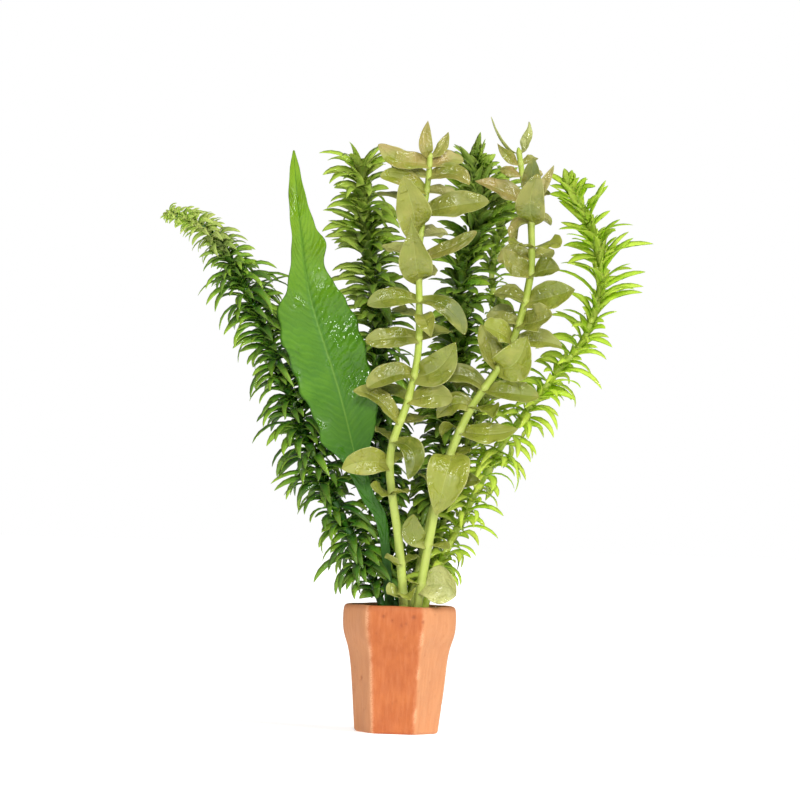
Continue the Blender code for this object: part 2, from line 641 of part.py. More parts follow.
def main():
    for old in list(bpy.data.objects):
        bpy.data.objects.remove(old, do_unlink=True)
    parts = bpy.data.collections.new("potted_egeria")
    cutters = bpy.data.collections.new("cutters")
    bpy.context.scene.collection.children.link(parts)
    bpy.context.scene.collection.children.link(cutters)
    finishes = {
        "terracotta": material("terracotta", (0.69, 0.25, 0.09), 0.85),
        "wool": material("growing_wool", (0.42, 0.38, 0.25), 0.95),
        "bacopa_stem": material("bacopa_stem", (0.36, 0.47, 0.06), 0.4),
        "bacopa_leaf": material("bacopa_leaf", (0.22, 0.33, 0.04), 0.4),
        "fern": material("fern", (0.09, 0.32, 0.02), 0.35),
        "egeria": material("egeria", (0.07, 0.2, 0.02), 0.4),
    }
    add_pot(parts, finishes["terracotta"])
    room = Room()
    holes = {}
    foot_radius = BACOPA_STEM_RADIUS[0] + BACOPA_HOLE_EXTRA + GAP
    for side in BACOPA_STEMS:
        stem, leaves = add_bacopa(side, parts, finishes)
        room.add_stem(stem, BACOPA_STEM_RADIUS[0])
        for at in leaves:
            room.add_blade(*at(np.linspace(0, 1, 6)))
        holes[f"bacopa_{side}"] = (stem, foot_radius)
    add_fern(parts, finishes["fern"])
    middle, across, over, left, right = fern_frame(np.linspace(0, 1, 24))
    shift = across * ((left - right) / 2)[:, None]
    room.add_blade(middle + shift, across, over, (left + right) / 2 + FERN_MARGIN)
    holes["fern"] = (Line(FERN_RIB), FERN_STALK_RADIUS + GAP)
    for name, shoot in EGERIA.items():
        room.shoots[f"egeria_{name}"] = (Line(shoot["line"]).points, shoot["length"][1])
        holes[name] = (Line(shoot["line"]), shoot["radius"][0] + EGERIA_HOLE_EXTRA + GAP)
    for name, shoot in EGERIA.items():
        add_egeria(f"egeria_{name}", shoot, room, parts, finishes["egeria"])
    add_wool(holes, parts, cutters, finishes["wool"])


main()
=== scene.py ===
import math

import bpy
import numpy as np
from mathutils import Matrix


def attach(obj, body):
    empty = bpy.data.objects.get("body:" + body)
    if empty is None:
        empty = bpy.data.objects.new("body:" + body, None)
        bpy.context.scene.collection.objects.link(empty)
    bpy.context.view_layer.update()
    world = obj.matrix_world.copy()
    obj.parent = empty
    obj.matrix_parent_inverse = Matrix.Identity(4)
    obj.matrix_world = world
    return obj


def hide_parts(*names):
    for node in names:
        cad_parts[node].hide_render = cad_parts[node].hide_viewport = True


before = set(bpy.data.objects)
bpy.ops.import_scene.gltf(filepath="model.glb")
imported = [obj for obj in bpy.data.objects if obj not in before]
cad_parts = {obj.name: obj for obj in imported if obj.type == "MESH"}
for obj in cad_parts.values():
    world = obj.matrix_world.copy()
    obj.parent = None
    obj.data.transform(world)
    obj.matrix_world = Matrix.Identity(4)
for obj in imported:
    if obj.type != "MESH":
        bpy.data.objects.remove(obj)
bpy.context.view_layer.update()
mm = 0.001
frontWay = np.array((0.0, -1.0, 0.0))
chance = np.random.default_rng(17)
print("frame loaded:", len(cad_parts), "nodes")


def unit(vectors):
    # each vector at a length of one
    return vectors / np.linalg.norm(vectors, axis=-1, keepdims=True)


def between(pair, share):
    # the straight way from the first value to the second
    return pair[0] + (pair[1] - pair[0]) * share


def smoothStep(value, low, high):
    # 0 at low, 1 at high and an S curve between them; low may be the larger
    share = np.clip((value - low) / (high - low), 0, 1)
    return share * share * (3 - 2 * share)


class Path:
    # a smooth curve through given points, in millimetres (Catmull-Rom), walked by its length
    def __init__(self, points, steps=14):
        p = np.array(points, float)
        p = np.vstack([2 * p[0] - p[1], p, 2 * p[-1] - p[-2]])
        t = np.linspace(0, 1, steps, endpoint=False)[:, None]
        spans = [0.5 * (2 * b + (c - a) * t + (2 * a - 5 * b + 4 * c - d) * t**2
                        + (3 * b - a - 3 * c + d) * t**3)
                 for a, b, c, d in zip(p[:-3], p[1:-2], p[2:-1], p[3:])]
        self.points = np.vstack(spans + [p[-2:-1]])
        stepLengths = np.linalg.norm(np.diff(self.points, axis=0), axis=1)
        self.run = np.concatenate([[0], np.cumsum(stepLengths)])
        self.length = self.run[-1]

    def at(self, run):
        return np.stack([np.interp(run, self.run, self.points[:, i]) for i in range(3)], axis=-1)

    def direction(self, run):
        return unit(self.at(np.add(run, 1.0)) - self.at(np.subtract(run, 1.0)))

    def runAtHeight(self, height):
        return np.interp(height, self.points[:, 2], self.run)


def bladeFrame(along, up):
    # across and over: both square to the blade's run, over leaning to the upper side
    over = unit(up - np.sum(up * along, axis=-1, keepdims=True) * along)
    return np.cross(over, along), over


def spoke(angle, reach, height):
    # points at an angle round the upright middle line, in radians from the right
    return np.column_stack([np.cos(angle) * reach, np.sin(angle) * reach, height + 0 * angle])


def cornerUv(shape, *corners):
    # the (u, v) of each corner of a face, spread over an array of faces
    return np.stack([np.stack([np.broadcast_to(value, shape) for value in corner], axis=-1)
                     for corner in corners], axis=-2).reshape(-1, 2)


class Skin:
    # gathers closed skins, each a stack of rings with a pole at both ends, and writes one mesh
    def __init__(self):
        self.points, self.quads, self.tris, self.quadUv, self.triUv = [], [], [], [], []
        self.marks, self.size = {}, 0

    def add(self, rings, foot, tip, u, v, **marks):
        # rings (count, along, around, 3); u runs along, v runs around and closes with one more
        # value; the rings turn anticlockwise seen from the tip, so that the faces point outwards
        count, along, around = rings.shape[:3]
        each = along * around + 2
        base = self.size + np.arange(count)[:, None, None] * each
        i = np.arange(along - 1)[None, :, None]
        j = np.arange(around)[None, None, :]
        k = (j + 1) % around
        last = base + (along - 1) * around
        sides = np.stack([base + i * around + j, base + i * around + k,
                          base + (i + 1) * around + k, base + (i + 1) * around + j], axis=-1)
        footFan = np.stack([base + k, base + j, base + along * around + 0 * j], axis=-1)
        tipFan = np.stack([last + j, last + k, base + along * around + 1 + 0 * j], axis=-1)
        low, high, middle = u[:-1, None], u[1:, None], (v[1:] + v[:-1]) / 2
        sideUv = cornerUv(sides.shape[:3], (low, v[:-1]), (low, v[1:]), (high, v[1:]), (high, v[:-1]))
        footUv = cornerUv((count, around), (u[0], v[1:]), (u[0], v[:-1]), (u[0], middle))
        tipUv = cornerUv((count, around), (u[-1], v[:-1]), (u[-1], v[1:]), (u[-1], middle))
        poles = np.stack([foot, tip], axis=1)
        self.points.append(np.concatenate([rings.reshape(count, -1, 3), poles], axis=1).reshape(-1, 3))
        self.quads.append(sides.reshape(-1, 4))
        self.tris.append(np.concatenate([footFan.reshape(-1, 3), tipFan.reshape(-1, 3)]))
        self.quadUv.append(sideUv)
        self.triUv += [footUv, tipUv]
        for name, value in marks.items():
            value = np.broadcast_to(value, (count, along, around)).reshape(count, -1)
            ends = value[:, [0, -1]]
            self.marks.setdefault(name, []).append(np.concatenate([value, ends], axis=1).ravel())
        self.size += count * each

    def mesh(self, name):
        points = np.concatenate(self.points) * mm
        quads, tris = np.concatenate(self.quads), np.concatenate(self.tris)
        corners = np.concatenate([quads.ravel(), tris.ravel()])
        starts = np.concatenate([np.arange(len(quads)) * 4, len(quads) * 4 + np.arange(len(tris)) * 3])
        made = bpy.data.meshes.new(name)
        made.vertices.add(len(points))
        made.vertices.foreach_set("co", points.ravel())
        made.loops.add(len(corners))
        made.loops.foreach_set("vertex_index", corners)
        made.polygons.add(len(starts))
        made.polygons.foreach_set("loop_start", starts)
        made.update(calc_edges=True)
        uvMap = made.uv_layers.new(name="UVMap")
        uvMap.data.foreach_set("uv", np.concatenate(self.quadUv + self.triUv).ravel())
        for mark, values in self.marks.items():
            held = made.attributes.new(mark, "FLOAT", "POINT")
            held.data.foreach_set("value", np.concatenate(values).astype(np.float32))
        made.shade_smooth()
        return made


def place(name, mesh, finish, slotName, *nodes):
    # a finished piece, and the CAD nodes that it stands for
    piece = bpy.data.objects.new(name, mesh)
    bpy.context.scene.collection.objects.link(piece)
    mesh.materials.append(finish)
    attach(piece, "root")
    if nodes:
        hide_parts(*nodes)


class Wire:
    # a node's output that adds Math nodes when it is used in an expression
    def __init__(self, finish, socket):
        self.finish = finish
        self.socket = socket

    def math(self, operation, *values):
        return self.finish.add("ShaderNodeMath", {"operation": operation}, dict(enumerate(values)))

    def __add__(self, other):
        return self.math("ADD", self, other)

    def __radd__(self, other):
        return self.math("ADD", other, self)

    def __sub__(self, other):
        return self.math("SUBTRACT", self, other)

    def __rsub__(self, other):
        return self.math("SUBTRACT", other, self)

    def __mul__(self, other):
        return self.math("MULTIPLY", self, other)

    def __rmul__(self, other):
        return self.math("MULTIPLY", other, self)

    def __pow__(self, other):
        return self.math("POWER", self, other)

    def sine(self):
        return self.math("SINE", self)

    def size(self):
        return self.math("ABSOLUTE", self)

    def above(self, low, high):
        return self.finish.add("ShaderNodeMapRange", {"interpolation_type": "SMOOTHSTEP"},
                               {"Value": self, "From Min": low, "From Max": high})


class Finish:
    # a material and the few calls that fill it with nodes
    def __init__(self, name):
        self.material = bpy.data.materials.new(name)
        self.material.use_nodes = True
        self.tree = self.material.node_tree
        self.tree.nodes.clear()
        self.place = self.add("ShaderNodeTexCoord", output="Object")

    def add(self, kind, settings=None, inputs=None, output=0):
        node = self.tree.nodes.new(kind)
        for name, value in (settings or {}).items():
            setattr(node, name, value)
        for name, value in (inputs or {}).items():
            if isinstance(value, Wire):
                self.tree.links.new(value.socket, node.inputs[name])
            elif isinstance(value, tuple) and node.inputs[name].type == "RGBA":
                node.inputs[name].default_value = (*value, 1)
            else:
                node.inputs[name].default_value = value
        return Wire(self, node.outputs[output])

    def mark(self, name):
        return self.add("ShaderNodeAttribute", {"attribute_name": name}, output="Fac")

    def axis(self, vector, number):
        return self.add("ShaderNodeSeparateXYZ", inputs={"Vector": vector}, output=number)

    def leafPlace(self):
        # u runs from the foot of a blade to its tip, v from one margin (0) to the other (1)
        uv = self.add("ShaderNodeUVMap", {"uv_map": "UVMap"})
        return self.axis(uv, 0), self.axis(uv, 1), uv

    def stretched(self, scale, vector=None):
        return self.add("ShaderNodeVectorMath", {"operation": "MULTIPLY"},
                        {0: vector or self.place, 1: scale})

    def noise(self, scale, detail=3, rough=0.55, vector=None):
        return self.add("ShaderNodeTexNoise", inputs={"Vector": vector or self.place, "Scale": scale,
                                                      "Detail": detail, "Roughness": rough})

    def mix(self, share, first, second):
        return self.add("ShaderNodeMix", {"data_type": "RGBA"}, {0: share, 6: first, 7: second}, 2)

    def layers(self, tint, *coats):
        # each coat is a share and the colour that covers that share of what lies under it
        for share, colour in coats:
            tint = self.mix(share, tint, colour)
        return tint

    def bump(self, height, strength, distance):
        return self.add("ShaderNodeBump", inputs={"Height": height, "Strength": strength,
                                                  "Distance": distance})

    def finishWith(self, through=None, share=0.0, **sockets):
        # a Principled surface, with a share of light that shines through a leaf in its own colour
        named = {name.replace("_", " "): value for name, value in sockets.items()}
        shader = self.add("ShaderNodeBsdfPrincipled", inputs=named, output="BSDF")
        if through:
            light = self.add("ShaderNodeBsdfTranslucent", inputs={"Color": through})
            shader = self.add("ShaderNodeMixShader", inputs={0: share, 1: shader, 2: light})
        end = self.tree.nodes.new("ShaderNodeOutputMaterial")
        self.tree.links.new(shader.socket, end.inputs["Surface"])
        return self.material


# Pot

pot = dict(
    # the wall's profile from the foot's edge over the rim and down inside: height and reach
    outside=((0.0, 15.6), (0.25, 16.3), (0.9, 17.0), (4.0, 17.35), (16.4, 18.6), (28.4, 19.8),
             (34.0, 20.9), (39.6, 22.8), (43.5, 23.55), (47.0, 23.65), (49.6, 23.4), (50.6, 22.9)),
    rim=((51.0, 22.2), (51.1, 21.4), (50.8, 20.6), (49.6, 20.0)),
    inside=((47.5, 19.6), (34.0, 17.9), (6.5, 14.6), (4.6, 13.6)),
    # rows along the profile, points around it, and the rows over which the pits fade out inside
    rows=190, around=300, outsideEnds=(130, 122),
    turn=25.0, squareness=(40.0, 16.0), squareTo=(30, 46), wobble=0.12, frontFace=-95.0,
    # pits and chips: angle in radians, height, size and depth, from the least to the most by
    # chance, and the ones that show in front
    pits=140, pitLeast=(-math.pi, 3, 0.25, 0.05), pitMost=(math.pi, 50, 0.6, 0.2),
    chips=((-1.89, 46.9, 0.6, 0.5), (-1.31, 47.0, 0.75, 0.6), (-1.45, 44.3, 0.5, 0.35),
           (-1.54, 43.6, 0.6, 0.4), (-1.14, 45.2, 0.6, 0.5), (-1.72, 45.4, 0.5, 0.4),
           (-2.62, 22.0, 0.8, 0.4)),
)


def potRadius(angle, reach, sharp):
    # a hexagon with round corners: the soft maximum of the six faces' distances
    faces = np.radians(pot["turn"] + 60 * np.arange(6))
    face = np.abs(np.cos(angle[..., None] - faces)) ** sharp[..., None]
    facing = np.cos(angle[..., None] - faces) > 0
    return reach * math.cos(math.pi / 6) / np.sum(face * facing, axis=-1) ** (1 / sharp)


def potMesh():
    # a profile of (height, reach) pairs carried round the hexagon; the shallow pits are bells of
    # clay taken away around chosen places, and low waves keep the walls from being machine-flat
    rows = np.array(pot["outside"] + pot["rim"] + pot["inside"])
    line = Path(np.column_stack([rows[:, 1], 0 * rows[:, 0], rows[:, 0]]), 10)
    places = line.at(np.linspace(0, line.length, pot["rows"]))
    reach, height = places[:, 0][:, None], places[:, 2][:, None]
    angle = np.linspace(0, 2 * math.pi, pot["around"], endpoint=False)[None, :]
    sharp = between(pot["squareness"], smoothStep(height, *pot["squareTo"])) + 0 * angle
    radius = potRadius(angle + 0 * height, reach, sharp)
    radius = radius + pot["wobble"] * (np.sin(2 * angle + 0.7) * 0.6 + np.sin(5 * angle + height * 0.09)
                                       + 0.5 * np.sin(9 * angle - height * 0.21))
    outer = smoothStep(np.arange(len(height))[:, None], *pot["outsideEnds"])
    spots = chance.uniform(pot["pitLeast"], pot["pitMost"], (pot["pits"], 4))
    pitShade = 0 * radius
    for a, h, size, depth in np.vstack([spots, pot["chips"]]):
        across = (np.angle(np.exp(1j * (angle - a)))) * radius
        pit = outer * depth * np.exp(-(across**2 + (height - h) ** 2) / size**2)
        radius = radius - pit
        pitShade = pitShade + pit
    rimWave = 0.1 * smoothStep(height, 44, 51) * (np.sin(3 * angle + 1) + 0.6 * np.sin(7 * angle))
    rings = np.stack([radius * np.cos(angle), radius * np.sin(angle), height + rimWave], axis=-1)
    # how far round from the front face: the other faces are painted paler as the pale floor's reflection,
    # and the corners carry wear with a painted highlight
    fromFront = np.degrees(np.abs(np.angle(np.exp(1j * (angle - math.radians(pot["frontFace"]))))))
    wearAndHighlight = np.exp(-(((fromFront % 60 - 30) / 2.6) ** 2))
    skin = Skin()
    skin.add(rings[None], np.zeros((1, 3)), np.array([[0, 0, rows[-1, 0]]]),
             np.linspace(0, 1, pot["rows"]), np.linspace(0, 1, pot["around"] + 1),
             paintedSideSheen=smoothStep(fromFront, 27, 32), wearAndHighlight=wearAndHighlight, pitShade=np.clip(pitShade * 2, 0, 1))
    return skin.mesh("pot")


def terracotta():
    f = Finish("terracotta")
    height = f.axis(f.place, 2)
    streaks = f.noise(700, 2, 0.6, f.stretched((1, 1, 0.12)))
    patches = f.noise(110, 4, 0.6)
    grain = f.noise(2600, 2, 0.7)
    specks = f.add("ShaderNodeTexVoronoi", inputs={"Vector": f.place, "Scale": 620.0})
    # corner wear and painted highlight: a pale band along each corner, partly wear and partly the gloss
    # along the edges
    corners = f.mark("wearAndHighlight") * patches.above(0.4, 0.6) * grain.above(0.3, 0.6)
    clay = f.layers(
        (0.375, 0.086, 0.014),
        (patches.above(0.25, 0.75), (0.46, 0.124, 0.026)),
        (streaks.above(0.35, 0.75) * 0.3, (0.58, 0.20, 0.07)),
        # painted reflection: the faces other than the front are paler and greyer, as the pale floor seen
        # in them at a grazing angle
        (f.mark("paintedSideSheen") * (0.4 + streaks * 0.3), (0.62, 0.315, 0.145)),
        # the corners' wear with a painted highlight
        (corners * 0.6, (0.82, 0.44, 0.25)),
        # painted shade: the pits and chips are darkened as the shade that falls in them
        (f.mark("pitShade") * 0.75, (0.24, 0.055, 0.015)),
        (specks.above(0.12, 0.0) * patches.above(0.45, 0.6) * 0.6, (0.26, 0.06, 0.02)),
        (height.above(0.0485, 0.0508) * 0.35, (0.34, 0.095, 0.03)))  # the damp rim
    relief = f.bump(grain * 0.5 + streaks * 0.6 + patches, 0.45, 0.0004)
    return f.finishWith(Base_Color=clay, Roughness=0.62 + patches * 0.2, Normal=relief)


place("pot", potMesh(), terracotta(), "terracotta", "pot")
print("pot done")


# Growing wool

wool = dict(
    fibres=260, fibreSpread=15.5, fibreFoot=43.7, fibreLength=(2.0, 4.5), fibreRadius=0.09,
    roots=46, rootSpread=(8, 15), rootFoot=44.0, rootLength=(6.0, 10.5), rootRadius=0.16,
    around=160, squareness=14.0, wallReach=15.8, aboveWall=51.8,
)


def woolMesh():
    # a plug of round-cornered hexagons, drawn in at the foot, its top humped and torn by waves
    height = np.array((5.0, 5.3, 34.0, 42.6, 43.6, 44.0, 44.2, 44.3, 44.3, 44.3, 44.3))[:, None]
    reach = np.array((13.0, 13.9, 17.2, 18.3, 18.0, 17.2, 15.0, 12.0, 8.5, 5.0, 2.0))[:, None]
    angle = np.linspace(0, 2 * math.pi, wool["around"], endpoint=False)[None, :]
    radius = potRadius(angle + 0 * height, reach, wool["squareness"] + 0 * angle * height)
    x, y = radius * np.cos(angle), radius * np.sin(angle)
    torn = (np.sin(x * 1.3 + 1) * np.cos(y * 1.1) + 0.6 * np.sin(x * 2.7 - y * 1.9)
            + 0.4 * np.sin(y * 3.9 + x)) * 0.4
    z = height + torn * smoothStep(height, 42, 44)
    skin = Skin()
    rings = np.stack([x + 0 * z, y + 0 * z, z], axis=-1)[None]
    skin.add(rings, np.array([[0, 0, 5.0]]), np.array([[0, 0, 44.3]]),
             np.linspace(0, 1, len(height)), np.linspace(0, 1, wool["around"] + 1))
    return skin


def addThreads(skin, feet, heading, length, droop, radius):
    # thin three-sided threads: each is a straight run that bends by its droop
    steps = np.linspace(0, 1, 7)
    share = steps[None, :, None]
    middle = feet[:, None] + heading[:, None] * length[:, None, None] * share \
        + droop[:, None] * length[:, None, None] * share**2
    # only threads that keep clear of the pot's wall
    inside = np.hypot(middle[..., 0], middle[..., 1]) < wool["wallReach"]
    middle = middle[(inside | (middle[..., 2] > wool["aboveWall"])).all(axis=1)]
    along = unit(np.gradient(middle, axis=1))
    across, over = bladeFrame(along, np.broadcast_to((0.3, 0.2, 0.93), along.shape))
    turn = np.arange(3) / 3 * 2 * math.pi
    ring = across[:, :, None] * np.cos(turn)[:, None] + over[:, :, None] * np.sin(turn)[:, None]
    rings = middle[:, :, None] + ring * radius * (1 - 0.5 * share[..., None])
    skin.add(rings, middle[:, 0], middle[:, -1] + along[:, -1] * radius, steps, np.linspace(0, 1, 4))


def woolWithFibres():
    # the plug, and short fibres that lean every way out of its top
    skin = woolMesh()
    count = wool["fibres"]
    angle = chance.uniform(0, 2 * math.pi, count)
    spread = np.sqrt(chance.uniform(0, 1, count)) * wool["fibreSpread"]
    feet = spoke(angle, spread, wool["fibreFoot"])
    way = chance.uniform(0, 2 * math.pi, count)
    rise = chance.uniform(0.1, 0.7, count)
    heading = unit(spoke(way, 1, rise))
    droop = np.column_stack([np.sin(way) * 0.3, -np.cos(way) * 0.3, -rise * 0.7])
    addThreads(skin, feet, heading, chance.uniform(*wool["fibreLength"], count), droop,
               wool["fibreRadius"])
    return skin.mesh("growing_wool")


def rootThreads():
    # pale hair-like roots that curl over the wool and peep over the rim at the right
    skin = Skin()
    count = wool["roots"]
    angle = np.radians(chance.uniform(-75, 30, count))
    spread = chance.uniform(*wool["rootSpread"], count)
    feet = spoke(angle, spread, wool["rootFoot"])
    way = np.radians(chance.uniform(-120, 60, count))
    heading = unit(spoke(way, 1, chance.uniform(1.2, 3.0, count)))
    droop = spoke(way + 1, 1, chance.uniform(-0.9, -0.4, count)) * 0.6
    addThreads(skin, feet, heading, chance.uniform(*wool["rootLength"], count), droop,
               wool["rootRadius"])
    return skin.mesh("root_threads")


def woolFinish(name, colour, pale):
    f = Finish(name)
    tufts = f.noise(900, 4, 0.7)
    moss = f.noise(140, 2, 0.5)
    tint = f.layers(colour, (tufts.above(0.3, 0.7), pale),
                    (moss.above(0.5, 0.75) * 0.5, (0.12, 0.16, 0.03)))
    return f.finishWith(Base_Color=tint, Roughness=0.85 + tufts * 0.1,
                        Normal=f.bump(tufts, 0.6, 0.0006))


place("growing_wool", woolWithFibres(), woolFinish("growing_wool", (0.24, 0.20, 0.11), (0.62, 0.58, 0.42)),
      "growing_wool", "growing_wool")
place("root_threads", rootThreads(), woolFinish("root_threads", (0.62, 0.62, 0.44), (0.86, 0.84, 0.70)),
      "growing_wool")
print("wool done")


# Bacopa stems and leaf pairs: all in millimetres, x to the right, y to the back, z up

bacopa = dict(
    stems={
        "left": ((1, -7, 30), (1.7, -9, 48), (-1.2, -13, 76), (-5.8, -17, 109), (0.6, -19, 133),
                 (4, -20, 152), (3.8, -20, 173), (3.2, -19, 193), (5.9, -17, 221), (6.3, -16, 232)),
        "right": ((6, -7, 30), (6.8, -9, 48), (10.4, -13, 75), (16, -17, 105), (25.5, -20, 130),
                  (40, -22, 154), (47.5, -22, 182), (47.6, -20, 205), (49, -18, 219)),
        "back": ((3, 0.5, 30), (4.3, 1.7, 48), (9.6, -1, 77), (15.8, -4, 105), (25.3, -7, 130),
                 (39.8, -10, 154), (47.3, -11, 182), (47.2, -9, 205), (44, -6, 221), (41.5, -5, 235)),
    },
    radius=(1.95, 1.1),
    # height on the stem, then for both leaves: way to the tip, width, how far it faces the front,
    # and, where they aren't the usual ones, how far out the leaf is widest and how pointed it is
    pairs={
        "left": (
            (56, (-6.5, -6, 0, 9, 0.7), (3, -9, -2.5, 7, 0.4)),
            (68, (-6, -8, 3, 7, 0.4), (8, 6, 3, 6, 0)),
            (96, (-9, -10, 3, 8, 0.5), (6, -9, 1, 6, 0.1)),
            (108, (-19, -9, -3, 11, 1), (8, 9, 3, 7, 0)),
            (117, (6.1, -9, -15.4, 9, 0.8), (-6, 9, 4, 8, 0.2)),
            (125, (-19.5, -7, 10.6, 9, 0.8), (12, 8, 2, 8, 0.3)),
            (134, (17.6, -5, 0.5, 10.6, 0.8), (-16.4, 11, -0.9, 8, 0.6)),
            (143, (16, -8, 13.7, 13, 1), (-18.6, -6, -5.4, 10, 0.7)),
            (158, (-20.8, -5, -3, 10, 0.8), (13, 8, 4, 9, 0.6)),
            (167, (5, -13, -9, 8, 0.3), (-11, 8, 3, 7, 0.4)),
            (173, (-20.3, -6, -2.6, 10, 0.6), (18.4, -4, -13.4, 9, 0.6)),
            (181, (-2.4, -8, 25, 13.2, 0.9, None, 1.9), (6, 13, 6, 9, 0.2)),
            (190, (22.6, -6, 10.6, 6.5, 0.8), (-15, 7, 4, 8, 0.4)),
            (198.5, (-7.6, -11, 23.5, 14, 0.9), (11, 10, 2, 9, 0.4)),
            (208.5, (25.5, -6, 4.4, 11, 0.8), (-20, 6, 7, 8, 0.4)),
            (216.5, (-18.2, -7, 5.6, 9, 0.8), (12, 6, -3, 8, 0.6)),
            (222.5, (16.5, -6, -1.9, 9, 0.8), (-15, 5, 4, 7, 0.7)),
            (227, (-20.6, -4, 7, 9, 0.8), (13.2, 4, 1.5, 8, 0.7)),
            (230.5, (-1.2, -2, 14, 5.6, 0.9), (7.3, 2, 9.5, 5, 0.7)),
        ),
        "right": (
            (60, (-5.6, -5, 1.2, 4, 0.2), (14, -6, -4, 15, 1)),
            (76, (-6, -3, 12, 9, 0.8), (8.5, -4, -1.6, 5, 0.3)),
            (99, (16, -5, 3, 9, 0.6), (-9, 6, 4, 7, 0.3)),
            (112, (-5, -9, -25, 17, 1), (7, 9, 4, 8, 0)),
            (122, (22.4, -4, 1, 10, 0.7), (-8, 10, -3, 8, 0.2)),
            (131, (8.4, -11, -4.1, 9, 0.5), (-14, 4, -5, 10, 0.8)),
            (139, (21.2, -4, -2.9, 10, 0.7), (-21, 3, 1.2, 9, 0.7)),
            (147, (10, -10, 13, 15, 1), (-8, 4, 17, 9, 0.8)),
            (158, (19.6, 3, -1.4, 9, 0.8), (-12, -8, 5, 10, 0.8)),
            (165, (12, -9.5, 4, 12, 0.8, 0.66), (-13, 6, 2, 8, 0.6)),
            (174, (19.5, -6, 4.6, 12, 0.9), (-13, 4, 3, 9, 0.6)),
            (185, (10.4, -8, 2, 10, 0.8), (-11, -6, 9.3, 9, 0.9)),
            (195, (11, -9, 0.5, 9, 0.3), (-9, -9, 0.5, 9, 0.3)),
            (205, (1.4, -8, 19.2, 12, 1), (-8, 3, -7, 6, 0.6)),
            (216.5, (-1.6, -3, 14, 8, 0.9), (7, 4, 12, 4, 0.6)),
        ),
        "back": (
            (137, (-11, 6, 3, 9, 0.6), (9, 7, 2, 8, 0.4)),
            (164, (-12, 5, 4, 9, 0.7), (10, 6, 3, 8, 0.6)),
            (192, (-13, 3, -3, 9, 0.8), (9, 6, 3, 8, 0.6)),
            (207, (-5, -6, -9, 4.5, 0.6), (9, 6, -2, 7, 0.6)),
            (214.5, (-20, -4, 8, 9.5, 0.8), (9, 6, 2, 7, 0.6)),
            (224.5, (-9, -5, 2.5, 4.5, 0.8), (8, 5, 0, 6, 0.7)),
            (229, (-9.5, -3, 7.5, 4.5, 0.8), (7, 4, 2, 5, 0.7)),
            (233, (-12, 0, 14, 4, 0.15), (3, 1, 12.6, 4.5, 0.3)),
        ),
    },
    widest=0.38, collarWall=0.8, gap=0.35, arch=0.14, thick=0.5, turnedFoot=0.6, wrap=2.2, clasp=0.3,
    # what chance varies from leaf to leaf: how pointed, folded and rippled it is, and how it
    # twists, sweeps to one side and curls up or down towards its tip
    pointed=(0.5, 1.0), fold=(0.1, 0.6), ripple=(0.05, 0.2), twist=0.4, sweep=0.07, curl=0.07,
    # heights between which the leaves behind the stem turn pale, the low ones stay pale, the
    # topmost pair pales and the rust sets in, and the width from which a low leaf is pale
    # the paling is painted light: thin leaves whitened as light shining through them
    palerBehind=(140, 205), palerLow=(74, 60), palerTop=(229, 233), rusty=(170, 225), paleWidth=(8, 12),
)
stemStep = 0.9  # between the rings of a stem


def lensSection(top):
    # round a thin blade: its upper side from margin to margin, 1 to -1, and back along its lower
    # side; face is 1 above, -1 below and 0 at both margins
    v = np.concatenate([top, top[-2:0:-1]])
    face = np.concatenate([np.ones(len(top)), -np.ones(len(top) - 2)])
    face[[0, len(top) - 1]] = 0
    return v, face


def bacopaOutline(share, widest, pointed):
    # half-width as a share: a quarter sine up to the widest place, then a rounded or pointed end
    lower = 0.7 + 0.3 * np.sin(np.clip(share / widest, 0, 1) * math.pi / 2)
    upper = np.clip(1 - (np.clip(share - widest, 0, 1) / (1 - widest)) ** 2, 0, 1) ** pointed
    return np.where(share < widest, lower, upper)


